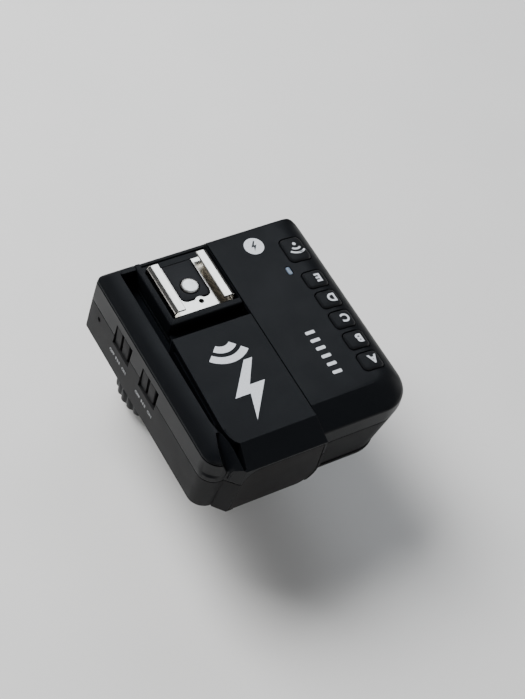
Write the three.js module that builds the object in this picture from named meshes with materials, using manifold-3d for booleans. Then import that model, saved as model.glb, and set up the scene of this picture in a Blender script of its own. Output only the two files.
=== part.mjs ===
// A wireless flash trigger: a flat deck with an accessory shoe on top, a control column under its rear edge and a
// shoe foot with a lock ring below. Millimetres, +Z up, +Y towards the front, +X to the photographer's right.
// The origin is the centre of the foot's bottom face, straight below the centre of the accessory shoe.
import * as THREE from "three";
import { mergeVertices } from "three/addons/utils/BufferGeometryUtils.js";
import Module from "manifold-3d";

const wasm = await Module();
wasm.setup();

// ---- driving dimensions ----
const GAP = 0.3; // between neighbouring pieces
const WALL = 1.8; // thickness of the casings

// Deck, seen from above
const REAR = -11.4;
const RIGHT = 25.8;
const LEFT = -43.4;
const RIGHT_FRONT = 59.7; // front of the right-hand wall
const NOSE_FRONT = 63; // front of the central nose
const LEFT_FRONT = 60.3; // front of the left part
const NOSE_FACET = { x0: 20.2, x1: 16.9 }; // the slanted corner between right wall and nose
const SEAM_X = -10.9; // seam between the left cover and the central panel
const LEAN = { start: 50.5, slope: 0.41 }; // the left wall leans inwards below this height
const CORNERS = { rearRight: 1.5, frontRight: 5.6, frontLeft: 11.3, rearLeft: 4 };

// Deck, heights
const DECK_TOP = 57.5;
const PARTING = 48.8; // between the top covers and the lower case
const DECK_BOTTOM = 36;
const SLOPE_LOW = 54.7; // lower edge of the sloped front
const SLOPE_START = { pod: 55.3, left: 52 };

// Central panel, trench, valley and shoulder
const SEAT = { x0: SEAM_X, x1: 12.8, y1: 12.4, floor: 51.6 };
const TRENCH = { y1: 17, floor: 53 };
const PANEL_RIGHT = { rear: 15, front: 16.4, frontY: 50 };
const VALLEY = { outer: 17.5, y0: -9.4, y1: 59.6, floor: 50 };

// Accessory shoe
const SHOE = { length: 18, width: 20.4, slot: 12.6, plate: 55.2, top: 58, sheet: 0.7 };
const CONTACT = { radius: 2.7, height: 0.35 };

// Keys on the left edge
const KEY_X = -35.3;
const KEY_PITCH = 8;
const KEY_FIRST_Y = 44.7;
const KEY = { width: 7, length: 6.2, radius: 1.4, bottom: 54.35, sunk: 0.3 };
const WIRELESS_KEY = { y: 0.6, width: 7.4, length: 9, radius: 1.6 };
const KEY_LETTERS = ["a", "b", "c", "d", "e"];
const LAMP = { x: -29.4, y: 7.2, width: 1.4, length: 3 };

// Slide switches in the right wall
const SWITCH = { y: 4, pitch: 16.3, length: 9.8, low: 45.7, high: 53.4, travel: 1.6, depth: 2.2 };
const SIDE_HOLE = { y: -4.7, z: 45.6, radius: 0.8 };

// Control column
const COLUMN = {
  top: DECK_BOTTOM - GAP,
  bottom: 11,
  front: { top: 25, bottom: 20 },
  right: { top: 22.6, bottom: 14 },
  left: { top: -35.6, bottom: -26 },
};
const BEZEL = { thickness: 1.2, low: 12.5, high: 55 };
const SCREEN = { x0: -34, x1: 4, z0: 33, z1: 51 };
const FUNCTION_KEYS = { count: 4, x: -27, pitch: 9, z: 29.6, width: 6.6, height: 3.4 };
const ROUND_KEYS = [
  { name: "mode_key", x: 10.6, z: 44.6, radius: 2.9 },
  { name: "channel_key", x: 10.6, z: 36.6, radius: 2.9 },
  { name: "test_key", x: 19.4, z: 44.6, radius: 2.9 },
  { name: "menu_key", x: -17, z: 19.4, radius: 2.9 },
];
const TEST_LAMP = { x: 21, z: 51, radius: 0.9 };
const DIAL = { x: 4.6, z: 19.6, outer: 7.2, inner: 3.4, proud: 2.2, ribs: 18 };

// Foot and lock ring
const FOOT = { width: 18.6, length: 18, thickness: 2, neck: 12.2, stem: 9.4 };
const PRESS_PLATE = { low: 4, high: 4.8, radius: 14 };
const RING = { low: 5.1, high: 10.6, inner: 9.8, outer: 16, ribs: 30 };
const LOCK_PIN = { y: -6, radius: 0.9 };
const FOOT_CONTACTS = [
  { name: "foot_contact_center", x: 0, y: 0, radius: 1.6 },
  { name: "foot_contact_1", x: 4.4, y: 4.6, radius: 0.8 },
  { name: "foot_contact_2", x: 0, y: 4.6, radius: 0.8 },
  { name: "foot_contact_3", x: -4.4, y: 4.6, radius: 0.8 },
];

// Batteries
const CELL = { radius: 7.25, length: 49, nub: 2.7, z: 45.2, x0: -36.1, y: [33.2, 48.2] };
const DOOR = { x0: -36.5, x1: 16, y0: 26, thickness: 1, ledge: 0.8, groove: 0.35 };
const CASE_SCREWS = [[-20, -8], [-20, 16.4], [9.6, 17.4]];
const LAMP_WINDOW = { x: 4, z: 46.5, width: 15, height: 8.4 };

// ---- helpers ----
function solid(geometry) {
  const bare = geometry.index ? geometry.toNonIndexed() : geometry.clone();
  bare.deleteAttribute("normal");
  bare.deleteAttribute("uv");
  const merged = mergeVertices(bare, 1e-4);
  return new wasm.Manifold(
    new wasm.Mesh({
      numProp: 3,
      vertProperties: new Float32Array(merged.attributes.position.array),
      triVerts: new Uint32Array(merged.index.array),
    }),
  );
}

function geometryOf(manifold) {
  const mesh = manifold.getMesh();
  const positions = new Float32Array(mesh.numVert * 3);
  for (let i = 0; i < mesh.numVert; i++) {
    const at = i * mesh.numProp;
    positions.set(mesh.vertProperties.subarray(at, at + 3), i * 3);
  }
  const geometry = new THREE.BufferGeometry();
  geometry.setAttribute("position", new THREE.BufferAttribute(positions, 3));
  geometry.setIndex(new THREE.BufferAttribute(mesh.triVerts, 1));
  geometry.computeVertexNormals();
  return geometry;
}

function polygon(points) {
  return new THREE.Shape(points.map(([x, y]) => new THREE.Vector2(x, y)));
}

// A closed outline whose corners [x, y, radius] are rounded.
function roundedPolygon(corners, segments = 4) {
  const points = [];
  corners.forEach(([x, y, radius], i) => {
    const at = new THREE.Vector2(x, y);
    const before = new THREE.Vector2(...corners.at(i - 1).slice(0, 2)).sub(at).normalize();
    const after = new THREE.Vector2(...corners[(i + 1) % corners.length].slice(0, 2)).sub(at).normalize();
    if (!radius) {
      points.push([x, y]);
      return;
    }
    const half = Math.acos(THREE.MathUtils.clamp(before.dot(after), -1, 1)) / 2;
    const reach = radius / Math.tan(half);
    const start = at.clone().addScaledVector(before, reach);
    const end = at.clone().addScaledVector(after, reach);
    for (let k = 0; k <= segments; k++) {
      const t = k / segments;
      // A rational quadratic is an exact arc when its middle weight is sin(half).
      const w = [(1 - t) ** 2, 2 * t * (1 - t) * Math.sin(half), t ** 2];
      const sum = w[0] + w[1] + w[2];
      points.push([
        (w[0] * start.x + w[1] * at.x + w[2] * end.x) / sum,
        (w[0] * start.y + w[1] * at.y + w[2] * end.y) / sum,
      ]);
    }
  });
  return polygon(points);
}

function rectangle(x0, y0, x1, y1, radius = 0, segments = 4) {
  return roundedPolygon([[x0, y0, radius], [x1, y0, radius], [x1, y1, radius], [x0, y1, radius]], segments);
}

// An outline in X and Y, standing from z0 to z1.
function alongZ(shape, z0, z1) {
  const geometry = new THREE.ExtrudeGeometry(shape, { depth: z1 - z0, bevelEnabled: false });
  return solid(geometry.translate(0, 0, z0));
}

// An outline in X and Z, running from y0 to y1.
function alongY(shape, y0, y1) {
  const geometry = new THREE.ExtrudeGeometry(shape, { depth: y1 - y0, bevelEnabled: false });
  return solid(geometry.rotateX(Math.PI / 2).translate(0, y1, 0));
}

// An outline in Y and Z, running from x0 to x1.
function alongX(shape, x0, x1) {
  const geometry = new THREE.ExtrudeGeometry(shape, { depth: x1 - x0, bevelEnabled: false });
  return solid(geometry.rotateZ(Math.PI / 2).rotateY(Math.PI / 2).translate(x0, 0, 0));
}

function box(x0, y0, z0, x1, y1, z1) {
  const geometry = new THREE.BoxGeometry(x1 - x0, y1 - y0, z1 - z0);
  return solid(geometry.translate((x0 + x1) / 2, (y0 + y1) / 2, (z0 + z1) / 2));
}

function cylinderZ(x, y, radius, z0, z1, sides = 24) {
  const geometry = new THREE.CylinderGeometry(radius, radius, z1 - z0, sides);
  return solid(geometry.rotateX(Math.PI / 2).translate(x, y, (z0 + z1) / 2));
}

function cylinderY(x, z, radius, y0, y1, sides = 24) {
  const geometry = new THREE.CylinderGeometry(radius, radius, y1 - y0, sides);
  return solid(geometry.translate(x, (y0 + y1) / 2, z));
}

function cylinderX(y, z, radius, x0, x1, sides = 16) {
  const geometry = new THREE.CylinderGeometry(radius, radius, x1 - x0, sides);
  return solid(geometry.rotateZ(Math.PI / 2).translate((x0 + x1) / 2, y, z));
}

function cut(body, ...tools) {
  return tools.reduce((rest, tool) => rest.subtract(tool), body);
}

function join(first, ...others) {
  return others.reduce((whole, other) => whole.add(other), first);
}

// A round outline with ribs: a knurled ring or dial, seen along its axis.
function knurledOutline(radius, depth, ribs) {
  const points = [];
  for (let i = 0; i < ribs; i++) {
    [[0.0, radius], [0.5, radius], [0.6, radius - depth], [0.9, radius - depth]].forEach(([part, r]) => {
      const angle = (2 * Math.PI * (i + part)) / ribs;
      points.push([r * Math.cos(angle), r * Math.sin(angle)]);
    });
  }
  return polygon(points);
}

// ---- the deck's outer form ----
function deckOutline(inset) {
  const r = (radius) => Math.max(radius - inset, 0.3);
  return roundedPolygon(
    [
      [RIGHT + 0.8 - inset, REAR + inset, r(CORNERS.rearRight)],
      [RIGHT + 0.8 - inset, RIGHT_FRONT - inset, r(CORNERS.frontRight)],
      [NOSE_FACET.x0 - inset / 2, RIGHT_FRONT - inset, 0],
      [NOSE_FACET.x1 - inset / 2, NOSE_FRONT - inset, 0],
      [SEAM_X + inset, NOSE_FRONT - inset, 0],
      [SEAM_X + inset, LEFT_FRONT - inset, 0],
      [LEFT + inset, LEFT_FRONT - inset, r(CORNERS.frontLeft)],
      [LEFT + inset, REAR + inset, r(CORNERS.rearLeft)],
    ],
    6,
  );
}

// The deck's section across its width: rounded shoulder on the right, rolled edge on the left.
function deckSection(inset) {
  const top = DECK_TOP - inset;
  const points = [
    [RIGHT + 0.8 - inset, DECK_BOTTOM + inset],
    [RIGHT - inset, PARTING],
    [RIGHT - 0.6 - inset, 55.8 - inset],
  ];
  for (let k = 1; k <= 5; k++) {
    const a = (k / 5) * (Math.PI / 2);
    points.push([19 + (6.2 - inset) * Math.cos(a), 55.8 - inset + 1.7 * Math.sin(a)]);
  }
  points.push([-34, top]);
  const roll = { x: -34, rx: -34 - LEFT - inset, rz: 6.2 };
  for (let k = 1; k <= 6; k++) {
    const a = (k / 6) * (Math.PI / 2);
    points.push([roll.x - roll.rx * Math.sin(a), top - roll.rz + roll.rz * Math.cos(a)]);
  }
  points.push([LEFT + inset, DECK_BOTTOM + inset]);
  return polygon(points);
}

// The deck's outline tilted so that its left wall leans inwards towards the bottom.
function leaningPrism(inset) {
  const { start, slope } = LEAN;
  const outline = deckOutline(inset);
  const depth = DECK_TOP + 3 - DECK_BOTTOM;
  const geometry = new THREE.ExtrudeGeometry(outline, { depth, bevelEnabled: false });
  geometry.translate(0, 0, DECK_BOTTOM - 1);
  const tilt = new THREE.Matrix4().set(1, 0, -slope, slope * start, 0, 1, 0, 0, 0, 0, 1, 0, 0, 0, 0, 1);
  return solid(geometry.applyMatrix4(tilt));
}

function deckBody(inset) {
  const plan = alongZ(deckOutline(inset), DECK_BOTTOM - 1, DECK_TOP + 2);
  const section = alongY(deckSection(inset), REAR - 2, NOSE_FRONT + 2);
  const middle = SEAM_X - 12;
  const leftPart = box(LEFT - 9, REAR - 3, DECK_BOTTOM - 3, middle + 1, NOSE_FRONT + 3, DECK_TOP + 3);
  const rightPart = box(middle, REAR - 3, DECK_BOTTOM - 3, RIGHT + 3, NOSE_FRONT + 3, DECK_TOP + 3);
  const left = plan.intersect(leftPart).intersect(leaningPrism(inset));
  return left.add(plan.intersect(rightPart)).intersect(section);
}

// The sloped front: what is taken off between x0 and x1, from the top at yTop to SLOPE_LOW at yLow.
function frontSlope(x0, x1, yTop, yLow) {
  const reach = 2;
  const run = (yLow - yTop) / (DECK_TOP - SLOPE_LOW);
  return alongX(
    polygon([
      [yTop - run * reach, DECK_TOP + reach],
      [yLow + run * reach, DECK_TOP + reach],
      [yLow + run * reach, SLOPE_LOW - reach],
    ]),
    x0,
    x1,
  );
}

const slopes = {
  left: frontSlope(LEFT - 1, SEAM_X, SLOPE_START.left, LEFT_FRONT),
  pod: frontSlope(SEAM_X, RIGHT + 2, SLOPE_START.pod, NOSE_FRONT),
};
const outer = deckBody(0);
const hollow = cut(deckBody(WALL), ...Object.values(slopes).map((slope) => shifted(slope, 0, 0, -WALL)));

function switchPlace(index) {
  return SWITCH.y + index * SWITCH.pitch;
}

function switchWindow(index) {
  const y = switchPlace(index);
  return box(RIGHT - 3, y, SWITCH.low, RIGHT + 2, y + SWITCH.length, SWITCH.high);
}

// ---- casings ----
function keyHole(y, key) {
  const c = GAP;
  const outline = rectangle(
    KEY_X - key.width / 2 - c,
    y - key.length / 2 - c,
    KEY_X + key.width / 2 + c,
    y + key.length / 2 + c,
    key.radius + c,
    3,
  );
  return alongZ(outline, PARTING, DECK_TOP + 2);
}

function lampHole(clearance) {
  const { x, y, width, length } = LAMP;
  const outline = rectangle(
    x - width / 2 - clearance,
    y - length / 2 - clearance,
    x + width / 2 + clearance,
    y + length / 2 + clearance,
    width / 2,
    3,
  );
  return alongZ(outline, DECK_TOP - 2.4, DECK_TOP + (clearance ? 1 : 0));
}

function keyPlaces() {
  return KEY_LETTERS.map((letter, i) => ({ letter, y: KEY_FIRST_Y - i * KEY_PITCH }));
}

// Pegs under the left cover that the key board rests against.
function boardPegs() {
  return [-6, 25, 47].map((y) => cylinderZ(-30, y, 1, 53.85, DECK_TOP - 1, 12));
}

function topCoverLeft() {
  const above = box(LEFT - 2, REAR - 2, PARTING + GAP / 2, SEAM_X - GAP / 2, NOSE_FRONT + 2, DECK_TOP + 2);
  const holes = keyPlaces().map(({ y }) => keyHole(y, KEY));
  return cut(
    join(outer.intersect(above).subtract(hollow), ...boardPegs()),
    slopes.left,
    ...holes,
    keyHole(WIRELESS_KEY.y, WIRELESS_KEY),
    lampHole(GAP / 2),
    rearOpenings(),
  );
}

function valleyCut() {
  const outline = roundedPolygon([
    [SEAT.x1 + GAP, VALLEY.y0, 0],
    [VALLEY.outer, VALLEY.y0, 0],
    [VALLEY.outer, VALLEY.y1, 0],
    [PANEL_RIGHT.front - 1.4, VALLEY.y1, 0],
    [PANEL_RIGHT.front, PANEL_RIGHT.frontY, 0],
    [PANEL_RIGHT.rear, TRENCH.y1, 0],
    [SEAT.x1 + GAP, TRENCH.y1 - 3, 0],
  ]);
  return alongZ(outline, VALLEY.floor, DECK_TOP + 2);
}

function trenchCut() {
  const depth = DECK_TOP - TRENCH.floor;
  const points = [[SEAT.y1 - 1, DECK_TOP + 1], [SEAT.y1 - 1, TRENCH.floor]];
  for (let k = 0; k <= 5; k++) {
    const a = (k / 5) * (Math.PI / 2);
    points.push([TRENCH.y1 - 3.4 + 3.4 * Math.sin(a), DECK_TOP - depth * Math.cos(a)]);
  }
  points.push([TRENCH.y1, DECK_TOP + 1]);
  return alongX(polygon(points), SEAM_X - 1, VALLEY.outer - 1);
}

function topCoverRight() {
  const above = box(SEAM_X + GAP / 2, REAR - 2, PARTING + GAP / 2, RIGHT + 3, NOSE_FRONT + 2, DECK_TOP + 2);
  const floorUnderTrench = box(
    SEAM_X + GAP / 2,
    REAR + WALL,
    TRENCH.floor - WALL - 1.2,
    VALLEY.outer + 1,
    TRENCH.y1 + 1,
    DECK_TOP - 1,
  );
  const valleyTray = box(
    SEAT.x1 + GAP + 0.1,
    REAR + 1,
    VALLEY.floor - 1,
    VALLEY.outer + WALL,
    NOSE_FRONT - 1,
    SLOPE_LOW - 0.4,
  );
  const shell = join(outer.intersect(above).subtract(hollow), floorUnderTrench, valleyTray);
  const seatPocket = box(
    SEAT.x0 - 1,
    REAR - 2,
    SEAT.floor - GAP,
    SEAT.x1 + GAP,
    SEAT.y1 + GAP,
    DECK_TOP + 2,
  );
  return cut(
    shell,
    valleyCut(),
    trenchCut(),
    seatPocket,
    slopes.pod,
    switchWindow(0),
    switchWindow(1),
    windowBlock(GAP),
    rearOpenings(),
  );
}

function lowerCase() {
  const below = box(LEFT - 2, REAR - 2, DECK_BOTTOM - 1, RIGHT + 3, NOSE_FRONT + 2, PARTING - GAP / 2);
  const { x0, x1, y0, thickness, ledge } = DOOR;
  const ceiling = DECK_BOTTOM + thickness + 0.2;
  const doorTrack = box(x0 - GAP, y0 - GAP, DECK_BOTTOM - 2, x1 + GAP, NOSE_FRONT + 2, ceiling);
  const cellHole = box(x0 + ledge, y0 + ledge, DECK_BOTTOM - 2, x1 - ledge, 56.6, DECK_BOTTOM + WALL + 1);
  const columnThroat = box(-33.6, REAR + WALL, DECK_BOTTOM - 2, 16, 4, DECK_BOTTOM + 3);
  const sideHole = cylinderX(SIDE_HOLE.y, SIDE_HOLE.z, SIDE_HOLE.radius, RIGHT - 3, RIGHT + 3, 12);
  return cut(
    outer.intersect(below),
    hollow,
    doorTrack,
    cellHole,
    columnThroat,
    sideHole,
    switchWindow(0),
    switchWindow(1),
    windowBlock(GAP),
    rearOpenings(),
  );
}

// The column narrows downwards on both sides and at the front; its rear stays flat.
function columnBlock(inset, low, high) {
  const { top, bottom, front, right, left } = COLUMN;
  const section = polygon([
    [left.top + inset, high],
    [left.bottom + inset, low],
    [right.bottom - inset, low],
    [right.top - inset, high],
  ]);
  const side = polygon([
    [REAR + inset, low],
    [front.bottom - inset, low],
    [front.top - inset, high],
    [REAR + inset, high],
  ]);
  const across = alongY(section, REAR - 1, front.top + 1);
  return across.intersect(alongX(side, left.top - 1, right.top + 1)).intersect(
    box(left.top - 1, REAR - 1, bottom, right.top + 1, front.top + 1, top + (inset ? 2 : 0)),
  );
}

function rearOpenings() {
  const { x0, x1, z0, z1 } = SCREEN;
  const screen = box(x0 + 1, REAR - 1, z0 + 1, x1 - 1, REAR + WALL + 1, z1 - 1);
  return join(screen, ...rearShafts(GAP, REAR - 1, REAR + WALL + 1));
}

// The shafts of the rear keys and the dial, cleared by the given amount.
function rearShafts(clearance, y0, y1) {
  const shafts = ROUND_KEYS.map(({ x, z, radius }) => cylinderY(x, z, radius + clearance, y0, y1, 20));
  functionKeyPlaces().forEach(({ x }) => {
    const { z, width, height } = FUNCTION_KEYS;
    const outline = rectangle(
      x - width / 2 - clearance,
      z - height / 2 - clearance,
      x + width / 2 + clearance,
      z + height / 2 + clearance,
      1,
      2,
    );
    shafts.push(alongY(outline, y0, y1));
  });
  shafts.push(cylinderY(TEST_LAMP.x, TEST_LAMP.z, TEST_LAMP.radius + clearance, y0, y1, 12));
  return shafts;
}

function functionKeyPlaces() {
  return Array.from({ length: FUNCTION_KEYS.count }, (_, i) => ({
    name: "function_key_" + (i + 1),
    x: FUNCTION_KEYS.x + i * FUNCTION_KEYS.pitch,
  }));
}

function baseHousing() {
  const { top, bottom } = COLUMN;
  const body = columnBlock(0, bottom, top);
  const inside = columnBlock(WALL, bottom + WALL, top + 1);
  const dialWell = cylinderY(DIAL.x, DIAL.z, 2.6, REAR - 1, REAR + WALL + 1, 20);
  const stemHole = cylinderZ(0, 0, 3, bottom - 1, bottom + WALL + 1, 20);
  const ports = [
    box(-40, 2, 24, -24, 11.4, 27.6),
    cylinderX(-3.4, 25.6, 1.7, -40, -24, 14),
  ];
  const screwSeats = CASE_SCREWS.map(([x, y]) => cylinderZ(x, y, 2.2, bottom - 1, bottom + 1, 16));
  return cut(body, inside, rearOpenings(), dialWell, stemHole, ...ports, ...screwSeats);
}

function rearBezel() {
  const outline = roundedPolygon(
    [
      [-39.6, BEZEL.high, 2.4],
      [-36.4, DECK_BOTTOM, 2],
      [-27.2, BEZEL.low, 2.4],
      [14.6, BEZEL.low, 2.4],
      [22.6, DECK_BOTTOM, 2],
      [24, BEZEL.high, 2.4],
    ].reverse(),
    3,
  );
  const y1 = REAR - GAP;
  const y0 = y1 - BEZEL.thickness;
  const screen = alongY(rectangle(SCREEN.x0, SCREEN.z0, SCREEN.x1, SCREEN.z1, 1.2, 2), y0 - 1, y1 + 1);
  const dialRecess = cylinderY(DIAL.x, DIAL.z, 2.6, y0 - 1, y1 + 1, 20);
  return cut(alongY(outline, y0, y1), screen, dialRecess, ...rearShafts(GAP, y0 - 1, y1 + 1));
}

// ---- screen ----
function screenWindow() {
  const c = 0.3;
  const outline = rectangle(SCREEN.x0 + c, SCREEN.z0 + c, SCREEN.x1 - c, SCREEN.z1 - c, 1, 2);
  return alongY(outline, REAR - GAP - BEZEL.thickness + 0.1, REAR - GAP);
}

function screenModule() {
  return box(SCREEN.x0 + 1.4, REAR + 0.2, SCREEN.z0 + 1.4, SCREEN.x1 - 1.4, REAR + 4, SCREEN.z1 - 1.4);
}

// ---- keys ----
function topKey(y, key) {
  const outline = rectangle(
    KEY_X - key.width / 2,
    y - key.length / 2,
    KEY_X + key.width / 2,
    y + key.length / 2,
    key.radius,
    3,
  );
  const lowered = alongY(deckSection(0), REAR, NOSE_FRONT);
  return alongZ(outline, KEY.bottom, DECK_TOP).intersect(shifted(lowered, 0, 0, -KEY.sunk));
}

function shifted(manifold, x, y, z) {
  return solid(geometryOf(manifold).translate(x, y, z));
}

function rearRoundKey({ x, z, radius }) {
  const face = cylinderY(x, z, radius, REAR - GAP - BEZEL.thickness - 1, REAR + WALL - 0.6, 20);
  return face;
}

function functionKey(x) {
  const { z, width, height } = FUNCTION_KEYS;
  const outline = rectangle(x - width / 2, z - height / 2, x + width / 2, z + height / 2, 1, 2);
  return alongY(outline, REAR - GAP - BEZEL.thickness - 0.8, REAR + WALL - 0.6);
}

// ---- dial ----
const dialBack = REAR - GAP - BEZEL.thickness - GAP;

function selectDial() {
  const ring = alongY(knurledOutline(DIAL.outer, 0.5, DIAL.ribs), dialBack - DIAL.proud, dialBack);
  const placed = shifted(ring, DIAL.x, 0, DIAL.z);
  const bore = cylinderY(DIAL.x, DIAL.z, DIAL.inner + GAP, dialBack - DIAL.proud - 1, dialBack - 0.8, 24);
  const shaft = cylinderY(DIAL.x, DIAL.z, 2.2, dialBack - 0.5, REAR + WALL - 0.4, 20);
  const passage = cylinderY(DIAL.x, DIAL.z, 1.3, dialBack - 2, REAR + WALL + 1, 16);
  return cut(join(placed.subtract(bore), shaft), passage);
}

function setKey() {
  const cap = cylinderY(DIAL.x, DIAL.z, DIAL.inner, dialBack - DIAL.proud - 0.2, dialBack - 1.7, 24);
  const stem = cylinderY(DIAL.x, DIAL.z, 1, dialBack - 1.8, REAR + WALL - 0.2, 12);
  return join(cap, stem);
}

function dialEncoder() {
  return box(DIAL.x - 5, REAR + WALL + 0.7, DIAL.z - 5, DIAL.x + 5, REAR + WALL + 4.4, DIAL.z + 5);
}

// ---- accessory shoe ----
function shoeSeat() {
  const { width, length, plate, sheet } = SHOE;
  const x0 = SEAT.x0 + GAP / 2;
  const block = box(x0, REAR, SEAT.floor, SEAT.x1, SEAT.y1, DECK_TOP);
  const pocket = box(
    -width / 2 - GAP,
    -length / 2 - GAP,
    plate - sheet - GAP,
    width / 2 + 1.1,
    length / 2 + 1.6,
    DECK_TOP + 1,
  );
  const wayIn = box(-width / 2 - GAP, REAR - 1, plate - 0.4, width / 2 + 1.1, 0, DECK_TOP + 1);
  return cut(block, pocket, wayIn);
}

function shoeRails() {
  const { length, width, slot, plate, top, sheet } = SHOE;
  const half = width / 2;
  const bottom = plate - sheet;
  const section = polygon([
    [-half, bottom],
    [half, bottom],
    [half, top],
    [slot / 2, top],
    [slot / 2, top - sheet],
    [half - sheet, top - sheet],
    [half - sheet, plate],
    [-half + sheet, plate],
    [-half + sheet, top - sheet],
    [-slot / 2, top - sheet],
    [-slot / 2, top],
    [-half, top],
  ]);
  const bent = alongY(section, -length / 2, length / 2);
  const window = alongZ(
    rectangle(-4.9, -length / 2 - 2, 4.9, 5.2, 2, 3),
    bottom - 1,
    plate + 0.5,
  );
  const tab = cylinderZ(-0.6, 6.2, 1.9, bottom, plate, 16);
  const pinHole = cylinderZ(-0.6, 6.2, 0.8, bottom - 1, plate + 1, 12);
  return bent.subtract(window).add(tab).subtract(pinHole);
}

function shoeInsulator() {
  const { length, plate, sheet } = SHOE;
  const outline = rectangle(-4.6, -length / 2, 4.6, 4, 1.6, 3);
  const block = alongZ(outline, plate - sheet, plate - 0.1);
  return cut(block, cylinderZ(0, 0, CONTACT.radius + GAP, plate - 2, plate + 1, 24));
}

function shoeContact() {
  return cylinderZ(0, 0, CONTACT.radius, SHOE.plate - SHOE.sheet, SHOE.plate + CONTACT.height, 28);
}

// ---- slide switches ----
function switchKnob(index) {
  const c = 0.25;
  const y = switchPlace(index) + c;
  const ribEnd = y + SWITCH.length - SWITCH.travel - 2 * c;
  const low = SWITCH.low + c;
  const high = SWITCH.high - c;
  const face = RIGHT - 0.4;
  const body = box(face - SWITCH.depth, y, low, face, ribEnd, high);
  const groove = box(face - 0.9, y + 3.6, low - 1, face + 1, y + 4.3, high + 1);
  return body.subtract(groove);
}

function switchBody(index) {
  const y = switchPlace(index);
  const back = RIGHT - 0.4 - SWITCH.depth - GAP;
  return box(back - 2.4, y - 0.6, SWITCH.low + 0.6, back, y + SWITCH.length + 0.6, SWITCH.high - 3.6);
}

// ---- focus-assist lamp ----
function windowBlock(clearance) {
  const { x, z, width, height } = LAMP_WINDOW;
  const outline = rectangle(
    x - width / 2 - clearance,
    z - height / 2 - clearance,
    x + width / 2 + clearance,
    z + height / 2 + clearance,
    1.6,
    3,
  );
  return alongY(outline, NOSE_FRONT - WALL - (clearance ? 1 : 0), NOSE_FRONT + (clearance ? 1 : -0.2));
}

function assistLamp() {
  const { x, z } = LAMP_WINDOW;
  return cylinderY(x, z, 2.5, NOSE_FRONT - WALL - 5.4, NOSE_FRONT - WALL - 0.6, 16);
}

// ---- foot and lock ring ----
function footPiece() {
  const { width, length, thickness, neck, stem } = FOOT;
  const plate = alongZ(rectangle(-width / 2, -length / 2, width / 2, length / 2, 0.8, 2), 0, thickness);
  const neckBlock = box(-neck / 2, -length / 2 + 0.4, thickness - 0.2, neck / 2, length / 2 - 0.4, RING.low);
  const round = cylinderZ(0, 0, stem, 3, COLUMN.bottom - GAP, 32);
  const holes = FOOT_CONTACTS.map(({ x, y, radius }) => cylinderZ(x, y, radius + GAP, -1, 1.6, 16));
  const pinWay = cylinderZ(0, LOCK_PIN.y, LOCK_PIN.radius + GAP, -1, 3, 12);
  const trimmed = neckBlock.intersect(cylinderZ(0, 0, stem, 0, 20, 32));
  return cut(join(plate, trimmed, round), ...holes, pinWay);
}

function footContact({ x, y, radius }) {
  return cylinderZ(x, y, radius, 0, 1.3, 16);
}

function lockPin() {
  return cylinderZ(0, LOCK_PIN.y, LOCK_PIN.radius, 0.2, 2.7, 12);
}

function pressurePlate() {
  const { low, high, radius } = PRESS_PLATE;
  return cut(cylinderZ(0, 0, radius, low, high, 32), cylinderZ(0, 0, FOOT.stem + GAP, 0, 20, 32));
}

function lockRing() {
  const { low, high, inner, outer: rim, ribs } = RING;
  return cut(alongZ(knurledOutline(rim, 0.7, ribs), low, high), cylinderZ(0, 0, inner, 0, 20, 32));
}

// ---- battery ----
function batteryDoor() {
  const { x0, x1, y0, thickness, groove } = DOOR;
  const plate = outer.intersect(box(x0, y0, DECK_BOTTOM - 1, x1, NOSE_FRONT + 1, DECK_BOTTOM + thickness));
  const grip = Array.from({ length: 5 }, (_, i) => {
    const y = 47 + i * 2;
    return box(-20, y, DECK_BOTTOM - 1, 0, y + 0.9, DECK_BOTTOM + groove);
  });
  return cut(plate, ...grip);
}

// The first cell points right, the second left.
function cellEnds(index) {
  const { x0, length } = CELL;
  return index === 0 ? { flat: x0, tip: x0 + length, out: 1 } : { flat: x0 + length, tip: x0, out: -1 };
}

function span(from, by) {
  return from < from + by ? [from, from + by] : [from + by, from];
}

function batteryCell(index) {
  const { radius, length, nub, z, x0, y } = CELL;
  const { tip, out } = cellEnds(index);
  const can = cylinderX(y[index], z, radius, x0, x0 + length, 28);
  const [from, to] = span(tip - 0.5 * out, 1.5 * out);
  return can.add(cylinderX(y[index], z, nub, from, to, 16));
}

// A coil spring that narrows towards the cell it presses on.
class SpringPath extends THREE.Curve {
  constructor(y, z, x0, x1, turns) {
    super();
    Object.assign(this, { y, z, x0, x1, turns });
  }

  getPoint(t, target = new THREE.Vector3()) {
    const angle = 2 * Math.PI * this.turns * t;
    const radius = 3.3 - 1.3 * t;
    return target.set(
      this.x0 + (this.x1 - this.x0) * t,
      this.y + radius * Math.cos(angle),
      this.z + radius * Math.sin(angle),
    );
  }
}

function cellSpring(index) {
  const { z, y } = CELL;
  const { flat, out } = cellEnds(index);
  const wire = new THREE.Shape().absarc(0, 0, 0.25, 0, 2 * Math.PI);
  const path = new SpringPath(y[index], z, flat - 1.6 * out, flat - 0.6 * out, 1.6);
  const geometry = new THREE.ExtrudeGeometry(wire, {
    steps: 28,
    curveSegments: 3,
    extrudePath: path,
    bevelEnabled: false,
  });
  return solid(geometry);
}

function cellPlate(index) {
  const { z, y } = CELL;
  const { tip, out } = cellEnds(index);
  const [from, to] = span(tip + 1.3 * out, 0.5 * out);
  return box(from, y[index] - 3, z - 3, to, y[index] + 3, z + 3);
}

// ---- boards and sockets ----
function mainBoard() {
  return box(-24, REAR + 8, 14, 12, REAR + 9.4, 47);
}

function keyBoard() {
  return box(-39.5, REAR + 3, 52.75, -28.4, 49, 53.55);
}

function usbSocket() {
  return cut(box(-30.4, 2.4, 24.4, -24.2, 11, 27.2), box(-31, 3, 24.9, -26, 10.4, 26.7));
}

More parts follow.
